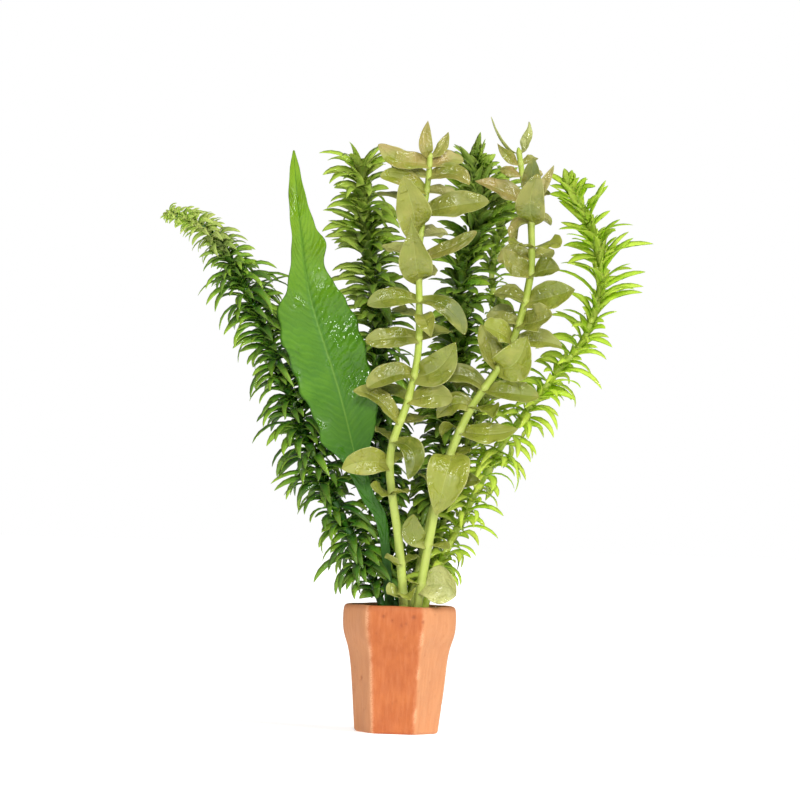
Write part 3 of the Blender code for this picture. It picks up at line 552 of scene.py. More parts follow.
class BacopaLeaf:
    # one leaf: a quadratic Bezier rib from the stem to the tip, and a blade that turns its upper
    # side from the stem's way to the front as it runs out
    def __init__(self, stem, height, leaf):
        run = stem.runAtHeight(height)
        self.radius = between(bacopa["radius"], run / stem.length)
        self.foot, self.stemWay = stem.at(run), stem.direction(run)
        way = np.array(leaf[:3], float)
        self.side = unit(way - np.dot(way, self.stemWay) * self.stemWay)
        self.start = self.foot + self.side * (self.radius + bacopa["gap"] + bacopa["collarWall"])
        self.tip = self.foot + way
        self.width, self.facing = leaf[3], leaf[4]
        widest, pointed = (leaf[5:] + (None, None))[:2]
        self.widest = widest or bacopa["widest"] + chance.uniform(-0.06, 0.06)
        self.pointed, self.fold, self.ripple = (chance.uniform(*bacopa[key])
                                                for key in ("pointed", "fold", "ripple"))
        self.pointed = pointed or self.pointed
        self.twist, self.sweep, self.curl = (chance.normal(0, bacopa[key])
                                             for key in ("twist", "sweep", "curl"))

    def frameAt(self, share):
        # the rib's points, the ways across and over the blade, and its half-width
        share = share[:, None]
        chord = self.tip - self.start
        long = np.linalg.norm(chord)
        bow = bladeFrame(unit(chord), self.stemWay)[1] * long * bacopa["arch"]
        turn = self.start + self.side * long * 0.35 + chord * 0.25 + bow
        middle = (1 - share) ** 2 * self.start + 2 * share * (1 - share) * turn + share**2 * self.tip
        along = unit(2 * (1 - share) * (turn - self.start) + 2 * share * (self.tip - turn))
        turned = self.facing * between((bacopa["turnedFoot"], 1), share**0.5)
        up = (1 - turned) * self.stemWay + turned * frontWay
        across, over = bladeFrame(along, up)
        cosine, sine = np.cos(self.twist * share), np.sin(self.twist * share)
        across, over = across * cosine + over * sine, over * cosine - across * sine
        middle = middle + across * self.sweep * long * np.sin(share * math.pi) \
            + over * self.curl * long * share**2
        half = 0.5 * self.width * bacopaOutline(share[:, 0], self.widest, self.pointed)
        return middle, across, over, half

    def addTo(self, skin, phase, **marks):
        # the section is a thin lens: margins raised by the fold and rippled, the rib sunk above
        # and raised below; towards the foot the blade wraps itself round the stem
        v, face = lensSection(np.array((1, 0.94, 0.8, 0.58, 0.34, 0.12, 0,
                                        -0.12, -0.34, -0.58, -0.8, -0.94, -1)))
        even = np.linspace(0, 1, 27)
        share = ((1 - np.cos(even * math.pi)) / 2 * 0.6 + even * 0.4) * 0.997  # closer at both ends
        middle, across, over, half = self.frameAt(share)
        s, h = share[:, None], half[:, None]
        wave = np.sin(s * 9 + phase + (v > 0) * 2.2) + 0.5 * np.sin(s * 19 + phase * 2 - (v > 0) * 1.3)
        ripple = self.ripple * wave * np.abs(v) ** 2.5 * smoothStep(s, 0.1, 0.4)
        raised = h * (self.fold * np.abs(v) ** 1.4 + ripple)
        rib = np.exp(-((v / 0.11) ** 2)) * (1 - s) * 0.22
        lens = face * bacopa["thick"] * 0.5 * np.sqrt(1 - v**2 * 0.97) * (1 - 0.4 * s)
        height = raised + lens - rib
        blade = middle[:, None] + across[:, None] * (h * v)[..., None] + over[:, None] * height[..., None]
        reach = self.radius + bacopa["clasp"]
        beside = np.cross(self.stemWay, self.side)
        aside = v * h[0, 0] * np.dot(across[0], beside) / reach
        angle = np.clip(aside, -bacopa["wrap"], bacopa["wrap"])[:, None]
        clasp = self.foot + (reach + face[:, None] * 0.22) \
            * (np.cos(angle) * self.side + np.sin(angle) * beside) \
            + self.stemWay * (v * h[0, 0] * np.dot(across[0], self.stemWay))[:, None]
        weight = (1 - smoothStep(s, 0.0, 0.13))[..., None]
        rings = blade * (1 - weight) + clasp[None] * weight
        tip = middle[-1] + unit(middle[-1] - middle[-2]) * 0.05
        uAcross = np.append(v, 1.0) * 0.5 + 0.5
        skin.add(rings[None], self.foot[None] + self.side * (self.radius + 0.2), tip[None], share,
                 uAcross, **marks)


def addStem(skin, path, end, radii, around, joints, swell, **marks):
    # rings square to the path; each joint is a narrow bell of extra radius with a pale mark
    runs = np.linspace(0, end, int(end / stemStep))
    joint = np.zeros(len(runs))
    for run in joints:
        joint = np.maximum(joint, np.exp(-((runs - run) / 0.75) ** 2))
    radius = between(radii, runs / path.length) * (1 + swell * joint) \
        * np.sqrt(np.clip((end + 0.6 - runs) / 2.5, 0.1, 1))
    middle, along = path.at(runs), path.direction(runs)
    across, over = bladeFrame(along, np.broadcast_to(frontWay, along.shape))
    turn = np.arange(around) / around * 2 * math.pi
    ridge = 1 + 0.03 * np.cos(turn * 5)
    ring = across[:, None] * np.cos(turn)[:, None] + over[:, None] * np.sin(turn)[:, None]
    rings = middle[:, None] + ring * (radius[:, None] * ridge)[..., None]
    marks = {name: np.broadcast_to(value, len(runs))[:, None] for name, value in marks.items()}
    skin.add(rings[None], middle[:1], middle[-1:] + along[-1:] * 0.4, runs / end,
             np.linspace(0, 1, around + 1), joint=joint[:, None], **marks)


def bacopaStemFinish():
    f = Finish("bacopa_stem")
    height = f.axis(f.place, 2)
    lines = f.noise(60, 2, 0.5, f.stretched((1.0, 12.0, 1.0), f.leafPlace()[2]))
    blotch = f.noise(160, 3, 0.6)
    tint = f.layers(
        (0.50, 0.60, 0.12),
        (height.above(0.09, 0.17), (0.40, 0.51, 0.06)),
        (lines.above(0.35, 0.7) * 0.3, (0.30, 0.42, 0.04)),
        (blotch.above(0.5, 0.75) * 0.35, (0.55, 0.58, 0.14)),
        (f.mark("joint") * 0.5, (0.58, 0.62, 0.18)))
    return f.finishWith((0.5, 0.64, 0.07), 0.15, Base_Color=tint, Roughness=0.16 + blotch * 0.3,
                        Normal=f.bump(lines + blotch, 0.35, 0.0005))


def bacopaLeafFinish():
    f = Finish("bacopa_leaf")
    u, v, uv = f.leafPlace()
    height = f.axis(f.place, 2)
    fromRib = (v - 0.5).size() * 2
    wander = f.noise(4, 3, 0.6, uv)
    veins = ((fromRib * 13 + wander * 5).sine().size()) ** 4
    rib = fromRib.above(0.07, 0.0)
    blotch, cloud = f.noise(230, 4, 0.65), f.noise(75, 2, 0.5)
    margin = fromRib.above(0.9, 1.0) * 0.4 + u.above(0.9, 1.0) * 0.3 + u.above(0.16, 0.0) * 0.3
    tint = f.layers(
        (0.105, 0.145, 0.010),
        (f.mark("tone"), (0.275, 0.315, 0.028)),
        (cloud.above(0.4, 0.65) * 0.4, (0.25, 0.37, 0.020)),
        (height.above(0.11, 0.06) * 0.35, (0.42, 0.52, 0.08)),
        (blotch.above(0.45, 0.75) * 0.4, (0.45, 0.43, 0.08)),
        # painted light: pale leaves are whitened as light shining through them
        (f.mark("pale") * 0.8, (0.72, 0.74, 0.30)),
        (f.mark("rust") * cloud.above(0.3, 0.6) * 0.8, (0.50, 0.31, 0.13)),
        (f.noise(1300, 2, 0.7).above(0.5, 0.62) * 0.3, (0.25, 0.25, 0.03)),  # fine specks
        (veins * 0.05, (0.12, 0.20, 0.02)),
        (rib * 0.35, (0.50, 0.58, 0.16)),
        (margin * 0.6, (0.46, 0.40, 0.10)),
        (fromRib.above(0.93, 0.99) * 0.5, (0.66, 0.68, 0.26)))
    foot = u.above(0.08, 0.16) * u.above(0.5, 0.34) * fromRib.above(0.9, 0.6)
    wet = foot.math("MAXIMUM", foot, f.noise(120, 2, 0.5).above(0.5, 0.58))
    wrinkles = f.noise(420, 3, 0.6)
    relief = f.bump(veins * 0.08 + wrinkles * (0.35 + wet * 1.3) - rib * 0.4, 0.6, 0.0009)
    return f.finishWith((0.50, 0.58, 0.07), 0.25, Base_Color=tint, Normal=relief,
                        Specular_IOR_Level=0.75, Roughness=(0.42 + blotch * 0.2) * (1 - wet * 0.86))


stemFinish, leafFinish = bacopaStemFinish(), bacopaLeafFinish()
bacopaPaths = {side: Path(points) for side, points in bacopa["stems"].items()}
bacopaLeaves = []
for side, path in bacopaPaths.items():
    pairs = bacopa["pairs"][side]
    stemSkin = Skin()
    addStem(stemSkin, path, path.length, bacopa["radius"], 18,
            [path.runAtHeight(pair[0]) for pair in pairs], 0.16)
    place(f"bacopa_{side}_stem", stemSkin.mesh(f"bacopa_{side}_stem"), stemFinish, "bacopa_stem",
          f"bacopa_{side}_stem")
    for number, pair in enumerate(pairs, 1):
        name = f"bacopa_{side}_pair_{number:02d}"
        pairSkin = Skin()
        tone = chance.uniform(0, 1)
        for leaf in pair[1:]:
            made = BacopaLeaf(path, pair[0], leaf)
            behind = smoothStep(made.tip[1] - made.foot[1], 0, 8) \
                * smoothStep(pair[0], *bacopa["palerBehind"])
            low = smoothStep(pair[0], *bacopa["palerLow"]) * smoothStep(leaf[3], *bacopa["paleWidth"])
            topmost = smoothStep(pair[0], *bacopa["palerTop"]) * (side == "back")
            aged = 0.25 + 0.75 * smoothStep(pair[0], *bacopa["rusty"])
            made.addTo(pairSkin, chance.uniform(0, 6.28), tone=np.clip(tone + chance.normal(0, 0.3), 0, 1),
                       rust=chance.uniform(0.25, 1) * aged * (1 - topmost),
                       pale=max(behind * chance.uniform(0.1, 0.8), low, topmost * 0.7))
            bacopaLeaves.append(made)
        place(name, pairSkin.mesh(name), leafFinish, "bacopa_leaf", name)
print("bacopa done:", len(bacopaLeaves), "leaves")


# Fern leaf

fern = dict(
    rib=((-4, -4, 30), (-4.5, -6, 51.5), (-8.3, -9, 84), (-16, -12, 98), (-27, -15, 136),
         (-39.5, -15, 173), (-45, -14, 205), (-48, -12, 231)),
    # share of the way up, and the blade's reach to the left and the right of its rib
    edge=((0.0, 1.5, 1.5), (0.2, 1.8, 1.8), (0.26, 2.3, 2.3), (0.34, 2.8, 3.1), (0.385, 4.8, 3.4),
          (0.402, 6.2, 5.6), (0.442, 11.5, 10.0), (0.478, 12.0, 13.0), (0.515, 13.5, 14.0),
          (0.578, 15.3, 14.6), (0.636, 15.4, 15.6), (0.682, 15.0, 13.8), (0.713, 13.6, 11.8),
          (0.737, 9.0, 10.8), (0.769, 6.3, 7.8), (0.82, 4.3, 9.2), (0.853, 3.7, 6.0),
          (0.918, 3.4, 3.1), (0.96, 2.2, 2.0), (1.0, 0.4, 0.4)),
    thick=1.0, wave=1.6, stalkRows=30, bladeRows=190, bladeFrom=0.33,
)


def fernFrame(share):
    # the rib's points, the ways across and over the blade, and its reach to the left and right
    rib, edge = Path(fern["rib"]), Path(fern["edge"], 8).points
    left, right = (np.interp(share, edge[:, 0], edge[:, side]) for side in (1, 2))
    along = rib.direction(share * rib.length)
    across, over = bladeFrame(along, np.broadcast_to(frontWay, along.shape))
    return rib.at(share * rib.length), across, over, left, right


def fernMesh():
    # a blade along its rib: margins waved and lobed, the rib a groove above and a cord below, the
    # side veins low ribs that slant to the tip, and the field between them blistered
    share = np.concatenate([np.linspace(0, fern["bladeFrom"], fern["stalkRows"], endpoint=False),
                            np.linspace(fern["bladeFrom"], 0.999, fern["bladeRows"])])
    middle, across, over, left, right = fernFrame(share)
    half = np.linspace(1, 0, 15)[1:-1]
    v, face = lensSection(np.concatenate([[1], half, [0], -half[::-1], [-1]]))
    s = share[:, None]
    grown = smoothStep(s, 0.36, 0.46)
    lobes = 1 + grown * np.abs(v) ** 6 * (0.035 * np.sin(s * 118) + 0.02 * np.sin(s * 57 + 1 + v))
    reach = np.where(v > 0, left[:, None], right[:, None]) * lobes
    lift = 0.1 * np.maximum(left, right)[:, None] * v**2
    wave = fern["wave"] * np.sin(s * 60) * np.clip((s - 0.35) * 8, 0, 1) * np.sign(v) * np.abs(v) ** 1.6
    blister = 0.035 * grown * np.sin(s * 190 - np.abs(v) * 9) * np.sin(np.abs(v) * math.pi) ** 0.7
    ribShape = np.exp(-((v * reach / 0.9) ** 2))
    thick = fern["thick"] * (1 - 0.55 * s)
    height = lift + wave + blister + face * thick * 0.5 * np.sqrt(1 - 0.96 * v**2) \
        - ribShape * np.where(face > 0, 0.35, 0.8) * grown
    rings = middle[:, None] + across[:, None] * (reach * v)[..., None] + over[:, None] * height[..., None]
    skin = Skin()
    skin.add(rings[None], middle[:1], middle[-1:] + (middle[-1:] - middle[-2:-1]) * 0.5, share,
             np.append(v, 1.0) * 0.5 + 0.5)
    return skin.mesh("fern_leaf")


def fernFinish():
    f = Finish("fern_leaf")
    u, v, uv = f.leafPlace()
    fromRib = (v - 0.5).size() * 2
    wander = f.noise(7, 2, 0.5, uv)
    pleats = (u * 190 - fromRib * 9 + wander * 4).sine()
    veins = pleats.size() ** 8
    fine = (u * 400 - fromRib * 25 + wander * 9).sine() * u.above(0.38, 0.48)
    rib = fromRib.above(0.05, 0.0) * u.above(0.3, 0.4)
    beside = fromRib.above(0.13, 0.07) * u.above(0.3, 0.4)
    blotch = f.noise(90, 4, 0.6)
    tint = f.layers(
        (0.064, 0.195, 0.005),
        (u.above(0.6, 1.0), (0.225, 0.385, 0.006)),
        (blotch.above(0.4, 0.7) * 0.45, (0.13, 0.31, 0.010)),
        (v.above(0.62, 0.2) * u.above(0.72, 0.45) * 0.45, (0.040, 0.155, 0.007)),  # low at the right
        (u.above(0.46, 0.4) * (0.6 + blotch * 0.5), (0.035, 0.15, 0.007)),  # the stalk
        (u.above(0.27, 0.17) * 0.75, (0.012, 0.06, 0.006)),  # the stalk's foot
        (veins * 0.14, (0.16, 0.38, 0.02)),
        (fine.above(0.2, 1.0) * 0.22, (0.030, 0.14, 0.006)),
        (beside * 0.35, (0.04, 0.17, 0.010)),
        (rib * u.above(1.0, 0.5) * 0.55, (0.22, 0.41, 0.05)),
        (fromRib.above(0.95, 1.0) * 0.4, (0.03, 0.14, 0.010)))
    middleWet = u.above(0.45, 0.55) * u.above(0.8, 0.7) * v.above(0.6, 0.35)
    wet = middleWet.math("MAXIMUM", middleWet, f.noise(60, 2).above(0.52, 0.6))
    ripple = f.noise(420, 2, 0.6)
    relief = f.bump(veins * 0.12 + pleats * (0.05 + wet * 0.1) - fine * (0.05 + wet * 0.07)
                    + ripple * (0.4 + wet * 0.4) - rib * 0.3, 0.7, 0.001)
    return f.finishWith((0.18, 0.42, 0.012), 0.28, Base_Color=tint, Normal=relief,
                        Specular_IOR_Level=0.42, Roughness=(0.6 + blotch * 0.15) * (1 - wet * 0.86))


place("fern_leaf", fernMesh(), fernFinish(), "fern_leaf", "fern_leaf")
print("fern done")


# Egeria shoots

egeria = dict(
    # middle line, the stem's radius at foot and tip, height of the lowest whorl, how many whorls
    # and how they crowd to the tip, leaf width and the rise and curl in degrees at foot and tip,
    # and the least and most leaves in a whorl; length and bright hold at the shares in along;
    # light lightens every leaf, tender yellows the tip, and pale the leaves to the right, or to
    # the left where it is below 0
    along=(0, 0.5, 0.8, 1),
    shoots={
        "far_left": dict(
            line=((-5, 0, 30), (-8, 1, 53), (-19, 2, 75), (-31, 3, 99), (-43, 3, 125.5),
                  (-51.4, 2, 145), (-63, 0, 170), (-77, -2, 194), (-88, -4, 202), (-97.5, -5, 204.5)),
            radius=(1.6, 1.0), lowest=54, whorls=82, closer=1.4, length=(15.5, 16.0, 14.5, 4.5),
            width=(3.3, 1.6), rise=(26, 52), curl=(90, 95), crowd=(8, 12), light=0.85,
            bright=(0.0, 0.0, 0.05, 0.1), tender=1.0, pale=0.0),
        "back_left": dict(
            line=((-1.5, 4, 30), (-2, 7, 52), (-5.5, 11, 74), (-8, 14, 100), (-11.5, 17, 136),
                  (-13, 18, 172), (-18, 17, 194), (-21, 15, 224)),
            radius=(1.6, 1.2), lowest=52, whorls=70, closer=1.2, length=(14.0, 15.5, 16.0, 14.5),
            width=(3.8, 3.8), rise=(25, 56), curl=(75, 74), crowd=(7, 10), light=0.8,
            bright=(0.0, 0.0, 0.2, 0.45), tender=0.1, pale=-0.75),
        "back_middle": dict(
            line=((4, 6, 30), (5, 9, 51), (11, 13, 89), (18, 16, 133), (20.8, 17, 160), (20.8, 16, 188),
                  (27, 15, 207), (24.5, 14, 226)),
            radius=(1.5, 1.1), lowest=52, whorls=70, closer=1.2, length=(14.5, 15.0, 15.0, 15.0),
            width=(4.4, 4.4), rise=(25, 72), curl=(76, 36), crowd=(8, 11), light=1.0,
            bright=(0.1, 0.1, 0.15, 0.2), tender=0.1, pale=0.0),
        "back_right": dict(
            line=((7, 3.5, 30), (9, 5, 51.5), (17.6, 11, 89), (29.6, 18, 129), (38, 25, 156),
                  (33, 31, 184), (36, 33, 208), (36, 32, 222)),
            radius=(1.4, 1.0), lowest=60, whorls=54, closer=1.15, length=(13.5, 12.5, 11.5, 12.0),
            width=(3.2, 2.8), rise=(25, 68), curl=(95, 50), crowd=(5, 8), light=0.9,
            bright=(0.24, 0.4, 0.4, 0.4), tender=0.4, pale=0.0),
        "right": dict(
            line=((8, -1, 30), (10, -1, 51), (19.5, 1, 77), (35.5, 3, 110), (46, 3, 127), (58.5, 1, 144),
                  (70.6, -2, 161), (76, -4, 182), (72.5, -4, 201), (62.5, -3, 220.5)),
            radius=(1.6, 0.9), lowest=60, whorls=52, closer=1.15, length=(13.5, 17.0, 16.0, 10.5),
            width=(2.8, 3.6), rise=(32, 70), curl=(105, 18), crowd=(5, 8), light=1.0,
            bright=(0.65, 1.0, 1.0, 1.0), tender=0.2, pale=0.7),
    },
    whorlTurn=41.0, thick=0.34, fold=0.3, facing=(0.2, 0.95), frontWidth=0.15,
    # a share of the leaves is short and stands up along the stem; runs of whorls, a knot apart,
    # have longer or shorter leaves that rise more or less
    youngShare=0.34, youngLength=0.6, youngRise=32.0, knot=7.0, knotLength=0.16, knotRise=9.0,
    # how far the leaves of a leaning shoot rise by the ground and not by their stem
    level=0.6,
    # how much chance varies the turn, the place on the stem, the length, rise, curl, sway and width
    varyTurn=0.12, varyRun=0.25, varyLength=0.18, varyRise=13, varyCurl=12, varySway=0.1, varyWidth=0.15,
    # turn round the stem in degrees and share of the length, tried until a leaf has room
    tries=((0, 1.0), (14, 1.0), (-14, 1.0), (0, 0.8), (26, 0.8), (-26, 0.8), (0, 0.6), (0, 0.42)),
    aboveRim=53.0, ownShare=-0.08, stemMargin=0.5, bladeMargin=0.2, bladeGap=0.7, fernGap=2.4,
    marks=("tone", "grown", "young", "bright", "pale", "front"),
)


def distance(points, line):
    # from each point to the nearest point of a line
    return np.linalg.norm(points[..., None, :] - line, axis=-1).min(axis=-1)


class Room:
    # the space that each shoot has for its leaves: nearer to it than to the other shoots, and
    # clear of the stems and broad leaves that stand in the bunch
    def __init__(self):
        self.shoots, self.stems, patches = {}, [], []
        for name, shoot in egeria["shoots"].items():
            self.shoots[name] = (Path(shoot["line"]).points, shoot["length"][1])
        for path in bacopaPaths.values():
            self.stems.append((path.points, bacopa["radius"][0]))
        blades = [(*leaf.frameAt(np.linspace(0, 1, 6)), egeria["bladeGap"]) for leaf in bacopaLeaves]
        middle, across, over, left, right = fernFrame(np.linspace(0, 1, 24))
        shift = across * ((left - right) / 2)[:, None]
        blades.append((middle + shift, across, over, (left + right) / 2 + 0.5, egeria["fernGap"]))
        for middle, across, over, half, gap in blades:
            along = np.diff(middle, axis=0)
            patches.append((middle[:-1] + along / 2, unit(along), across[:-1], over[:-1],
                            np.maximum(half[:-1], half[1:]), np.linalg.norm(along, axis=1) / 2,
                            np.full(len(along), gap)))
        self.patches = [np.concatenate(column) for column in zip(*patches)]

    def free(self, points, own):
        line, reach = self.shoots[own]
        share = distance(points, line) / reach
        free = points[..., 2].min(axis=1) > egeria["aboveRim"]
        for name, (line, reach) in self.shoots.items():
            if name != own:
                free &= (distance(points, line) / reach > share + egeria["ownShare"]).all(axis=1)
        for line, radius in self.stems:
            free &= (distance(points, line) > radius + egeria["stemMargin"]).all(axis=1)
        centre, along, across, over, half, length, gap = self.patches
        way = points[..., None, :] - centre
        inside = (np.abs(np.sum(way * along, axis=-1)) < length + egeria["bladeMargin"]) \
            & (np.abs(np.sum(way * across, axis=-1)) < half + egeria["bladeMargin"]) \
            & (np.abs(np.sum(way * over, axis=-1)) < gap)
        return free & ~inside.any(axis=(1, 2))


def egeriaBlade(leaves, share):
    # each rib is an arc that leaves the stem at its rise and turns down through its curl, and
    # sways a little to one side; gives the rib's points and its across and over ways
    out, way, side = leaves["out"][:, None], leaves["way"][:, None], leaves["side"][:, None]
    rise, curl, length = (leaves[key][:, None] for key in ("rise", "curl", "length"))
    angle = rise - curl * share
    outPart = length * (np.sin(rise) - np.sin(angle)) / curl
    upPart = length * (np.cos(angle) - np.cos(rise)) / curl
    sway = leaves["sway"][:, None] * length * share**2
    middle = leaves["start"][:, None] + out * outPart[..., None] + way * upPart[..., None] \
        + side * sway[..., None]
    along = unit(np.cos(angle)[..., None] * out + np.sin(angle)[..., None] * way
                 + side * (2 * leaves["sway"][:, None] * share)[..., None])
    upper = np.cos(angle)[..., None] * way - np.sin(angle)[..., None] * out
    facing = leaves["facing"][:, None, None] * share[:, None] ** 0.5
    across, over = bladeFrame(along, upper * (1 - facing) + frontWay * facing)
    return middle, across, over


def whorlLeaves(shoot, path):
    # the leaves of one shoot as arrays, whorl after whorl, with a little chance in each
    first, last = path.runAtHeight(shoot["lowest"]), path.length - 0.8
    share = 1 - (1 - np.linspace(0, 1, shoot["whorls"])) ** shoot["closer"]
    number = chance.integers(*shoot["crowd"], len(share))
    whorl = np.repeat(np.arange(len(share)), number)
    turnNumber = np.arange(len(whorl)) - np.repeat(np.cumsum(number) - number, number)
    turn = np.radians(whorl * egeria["whorlTurn"]) + turnNumber / number[whorl] * 2 * math.pi \
        + chance.normal(0, egeria["varyTurn"], len(whorl))
    grown = share[whorl]
    run = first + (last - first) * grown + chance.normal(0, egeria["varyRun"], len(whorl))
    way = path.direction(run)
    across, over = bladeFrame(way, np.broadcast_to(frontWay, way.shape))
    vary = chance.normal(0, 1, (3, len(whorl)))
    young = chance.uniform(0, 1, len(whorl)) < egeria["youngShare"]
    knots = np.arange(0, path.length + egeria["knot"], egeria["knot"])
    longer, steeper = (np.interp(run, knots, chance.normal(0, egeria[key], len(knots)))
                       for key in ("knotLength", "knotRise"))
    length = np.interp(grown, egeria["along"], shoot["length"]) \
        * (1 + egeria["varyLength"] * vary[0] + longer) * np.where(young, egeria["youngLength"], 1)
    out = across * np.cos(turn)[:, None] + over * np.sin(turn)[:, None]
    rise = between(shoot["rise"], grown**2.5) + egeria["varyRise"] * vary[1] + steeper \
        + young * egeria["youngRise"] - egeria["level"] * np.degrees(np.arcsin(np.clip(out[:, 2], -1, 1)))
    front = np.clip(out @ frontWay, 0, 1)
    return dict(
        out=out, way=way, side=np.cross(way, out), run=run, grown=grown, length=length,
        rise=np.radians(rise),
        curl=np.radians(between(shoot["curl"], grown**2) + egeria["varyCurl"] * vary[2]),
        sway=chance.normal(0, egeria["varySway"], len(whorl)),
        start=path.at(run) + out * (between(shoot["radius"], run / path.length) * 0.75)[:, None],
        facing=chance.uniform(*egeria["facing"], len(whorl)),
        # painted shade: the leaves that stand over the stem, in the shoot's shaded core, are darker than
        # those that spread to the sides; beyond that the tone is chance
        tone=chance.uniform(0, 1, len(whorl)) * shoot["light"] * between((0.1, 1.3), np.abs(out[:, 0])),
        front=smoothStep(front, 0.2, 0.9), young=smoothStep(grown, 0.8, 0.97) * shoot["tender"],
        pale=np.clip(out[:, 0] * shoot["pale"], 0, 1) * smoothStep(grown, 0.35, 0.8),
        bright=np.interp(grown, egeria["along"], shoot["bright"]),
        width=between(shoot["width"], grown**3) * (1 + egeria["frontWidth"] * front)
        * (1 + chance.uniform(-egeria["varyWidth"], egeria["varyWidth"], len(whorl))))


def fitLeaves(leaves, room, name):
    # tries each leaf as it is, then turned round the stem or shorter, and keeps what has room
    share = np.linspace(0.3, 1, 7)
    placed = np.zeros(len(leaves["run"]), bool)
    final = {key: value.copy() for key, value in leaves.items()}
    for turn, part in egeria["tries"]:
        angle = math.radians(turn)
        tried = dict(leaves, length=leaves["length"] * part,
                     out=leaves["out"] * math.cos(angle) + leaves["side"] * math.sin(angle))
        tried["side"] = np.cross(leaves["way"], tried["out"])
        fits = room.free(egeriaBlade(tried, share)[0], name) & ~placed
        for key in final:
            final[key][fits] = tried[key][fits]
        placed |= fits
    return {key: value[placed] for key, value in final.items()}


def addEgeriaLeaves(skin, leaves):
    # each leaf has four corners to a ring: margin, rib above, margin, rib below, with raised margins
    share = np.array((0.0, 0.1, 0.25, 0.42, 0.6, 0.76, 0.89, 0.97))
    middle, across, over = egeriaBlade(leaves, share)
    taper = (0.72 + 0.28 * np.sin(np.clip(share / 0.35, 0, 1) * math.pi / 2)) * (1 - share**3.2) ** 0.8
    half = 0.5 * leaves["width"][:, None] * taper
    rib = egeria["thick"] * (1 - 0.6 * share) * 0.5
    raised = middle + over * (half * egeria["fold"])[..., None]
    left = raised + across * half[..., None]
    right = raised - across * half[..., None]
    above = middle + over * rib[:, None]
    below = middle - over * rib[:, None]
    rings = np.stack([left, above, right, below], axis=2)
    tip = egeriaBlade(leaves, np.array([1.0]))[0][:, 0]
    foot = middle[:, 0] - leaves["out"] * 0.3
    skin.add(rings, foot, tip, share, np.array((1.0, 0.5, 0.0, 0.5, 1.0)),
             joint=0.0, leaf=1.0, **{mark: leaves[mark][:, None, None] for mark in egeria["marks"]})


def egeriaFinish():
    f = Finish("egeria")
    u, v = f.leafPlace()[:2]
    tone, bright, young, leaf = (f.mark(name) for name in ("tone", "bright", "young", "leaf"))
    fromRib = (v - 0.5).size() * 2
    blotch = f.noise(260, 3, 0.6)
    # painted shade: each leaf stays dark at its foot by the stem, where the shoot's core is shaded, and
    # lightens towards its tip
    outer = u.above(0.25, 1.0) * leaf
    # painted shade: upper leaves that point to the front sit in the shoot's core and lose part of the
    # bright tint
    coreShade = f.mark("front") * f.mark("grown").above(0.55, 0.7)
    rib = fromRib.above(0.35, 0.0) * leaf
    tint = f.layers(
        (0.010, 0.070, 0.006),
        # the tone carries the painted shade of the shoot's core
        (tone, (0.12, 0.40, 0.016)),
        (outer * (0.15 + tone * 0.8), (0.45, 0.62, 0.06)),
        (fromRib.above(0.5, 1.0) * leaf * (0.12 + tone * 0.4), (0.48, 0.62, 0.07)),
        (young * 0.95, (0.94, 0.94, 0.36)),
        (bright * (0.94 - coreShade * 0.4), (0.86, 0.96, 0.14)),
        (bright * (1 - leaf) * 0.7, (0.82, 0.92, 0.22)),  # the stem of a bright shoot
        (blotch.above(0.45, 0.7) * (0.3 - bright * 0.28) * (1 - young), (0.08, 0.26, 0.015)),
        (f.mark("pale") * u.above(0.1, 0.6) * 0.85, (0.64, 0.79, 0.12)),
        (rib * (0.3 - bright * 0.15), (0.06, 0.22, 0.02)))
    wet = f.noise(210, 2, 0.5).above(0.48, 0.56)
    relief = f.bump(blotch * 1.6 - rib * 0.4 + f.noise(700, 2) * wet, 0.5, 0.0006)
    return f.finishWith((0.64, 0.86, 0.08), 0.05 + tone * 0.2 + young * 0.5 + bright * 0.42,
                        Base_Color=tint, Normal=relief, Specular_IOR_Level=0.45,
                        Roughness=(0.42 + blotch * 0.2) * (1 - wet * 0.84))


room = Room()
shootFinish = egeriaFinish()
for name, shoot in egeria["shoots"].items():
    path = Path(shoot["line"])
    leaves = fitLeaves(whorlLeaves(shoot, path), room, name)
    shootSkin = Skin()
    addEgeriaLeaves(shootSkin, leaves)
    end = path.length - 1.0
    addStem(shootSkin, path, end, shoot["radius"], 10, np.unique(leaves["run"]), 0.05,
            tone=0.1, grown=np.linspace(0, 1, int(end / stemStep)),
            bright=shoot["bright"][1], young=0.0, pale=0.0, front=0.0, leaf=0.0)
    place(f"egeria_{name}", shootSkin.mesh(f"egeria_{name}"), shootFinish, "egeria", f"egeria_{name}")
    print("egeria", name, len(leaves["run"]), "leaves")


# Floor, light and camera

studio = dict(
    # world is how bright the surroundings light the plant, paper how bright the camera sees them;
    # each turn is degrees to the right of the front, and degrees above the floor
    floor=3.0, key=2.35, keyTurn=(52, 42), keySpread=30, world=0.34, paper=1.0,
    glint=6.0, glintSize=0.18, glintTurn=(-2, 20), glintHeight=0.14, glintAway=1.0,
)


def floorSheet():
    # a flat round sheet of pale paper
    turn = np.linspace(0, 2 * math.pi, 96, endpoint=False)
    points = spoke(turn, studio["floor"], 0).tolist()
    made = bpy.data.meshes.new("floor")
    made.from_pydata(points, [], [list(range(len(points)))])
    floor = bpy.data.objects.new("floor", made)
    bpy.context.scene.collection.objects.link(floor)
    f = Finish("paper")
    grain = f.noise(40, 2)
    made.materials.append(f.finishWith(Base_Color=f.mix(grain, (0.90, 0.90, 0.90), (0.92, 0.92, 0.92)),
                                       Roughness=0.9, Emission_Color=(1.0, 1.0, 1.0),
                                       Emission_Strength=0.5))


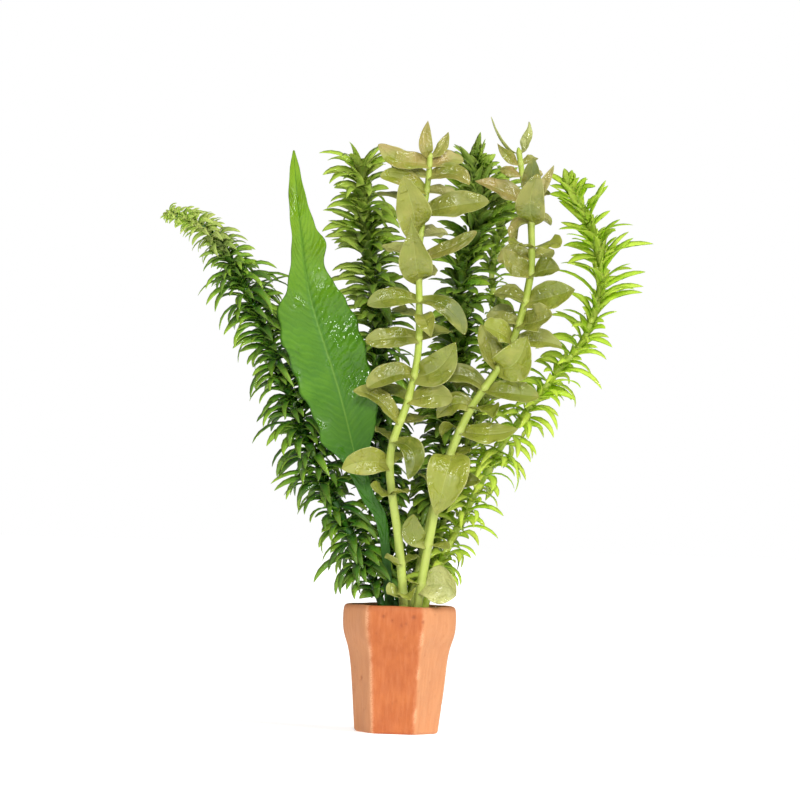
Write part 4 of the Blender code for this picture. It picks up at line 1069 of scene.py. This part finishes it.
def turned(turn, rise):
    # the way that a light comes from
    return Matrix.Rotation(math.radians(turn), 4, "Z") @ Matrix.Rotation(math.radians(90 - rise), 4, "X")


def lights():
    # a broad sun, a small lamp that makes the wet glints crisp, and a soft world that the camera
    # alone sees as white paper
    key = bpy.data.lights.new("key", "SUN")
    key.energy = studio["key"]
    key.angle = math.radians(studio["keySpread"])
    key.color = (1.0, 0.985, 0.96)
    lamp = bpy.data.objects.new("key", key)
    lamp.matrix_world = turned(*studio["keyTurn"])
    bpy.context.scene.collection.objects.link(lamp)
    small = bpy.data.lights.new("glint", "AREA")
    small.energy, small.size = studio["glint"], studio["glintSize"]
    glint = bpy.data.objects.new("glint", small)
    glint.matrix_world = Matrix.Translation((0, 0, studio["glintHeight"])) \
        @ turned(*studio["glintTurn"]) @ Matrix.Translation((0, 0, studio["glintAway"]))
    bpy.context.scene.collection.objects.link(glint)
    world = bpy.data.worlds.new("studio")
    bpy.context.scene.world = world
    world.use_nodes = True
    nodes, links = world.node_tree.nodes, world.node_tree.links
    back = nodes["Background"]
    rays = nodes.new("ShaderNodeLightPath")
    level = nodes.new("ShaderNodeMapRange")
    level.inputs["To Min"].default_value = studio["world"]
    level.inputs["To Max"].default_value = studio["paper"]
    links.new(rays.outputs["Is Camera Ray"], level.inputs["Value"])
    links.new(level.outputs["Result"], back.inputs["Strength"])
    back.inputs["Color"].default_value = (1, 1, 1, 1)


def camera():
    # the photograph looks straight at the front, turned by under two degrees
    view = dict(distance=2.4, height=0.1330, shift=-0.0026, roll=1.8, seen=0.320)
    data = bpy.data.cameras.new("camera")
    data.sensor_width = 36
    data.lens = 36 * view["distance"] / view["seen"]
    made = bpy.data.objects.new("camera", data)
    made.matrix_world = Matrix.Translation((view["shift"], -view["distance"], view["height"])) \
        @ Matrix.Rotation(math.pi / 2, 4, "X") @ Matrix.Rotation(math.radians(view["roll"]), 4, "Z")
    bpy.context.scene.collection.objects.link(made)
    bpy.context.scene.camera = made


floorSheet()
lights()
camera()
bpy.context.scene.view_settings.view_transform = "Standard"
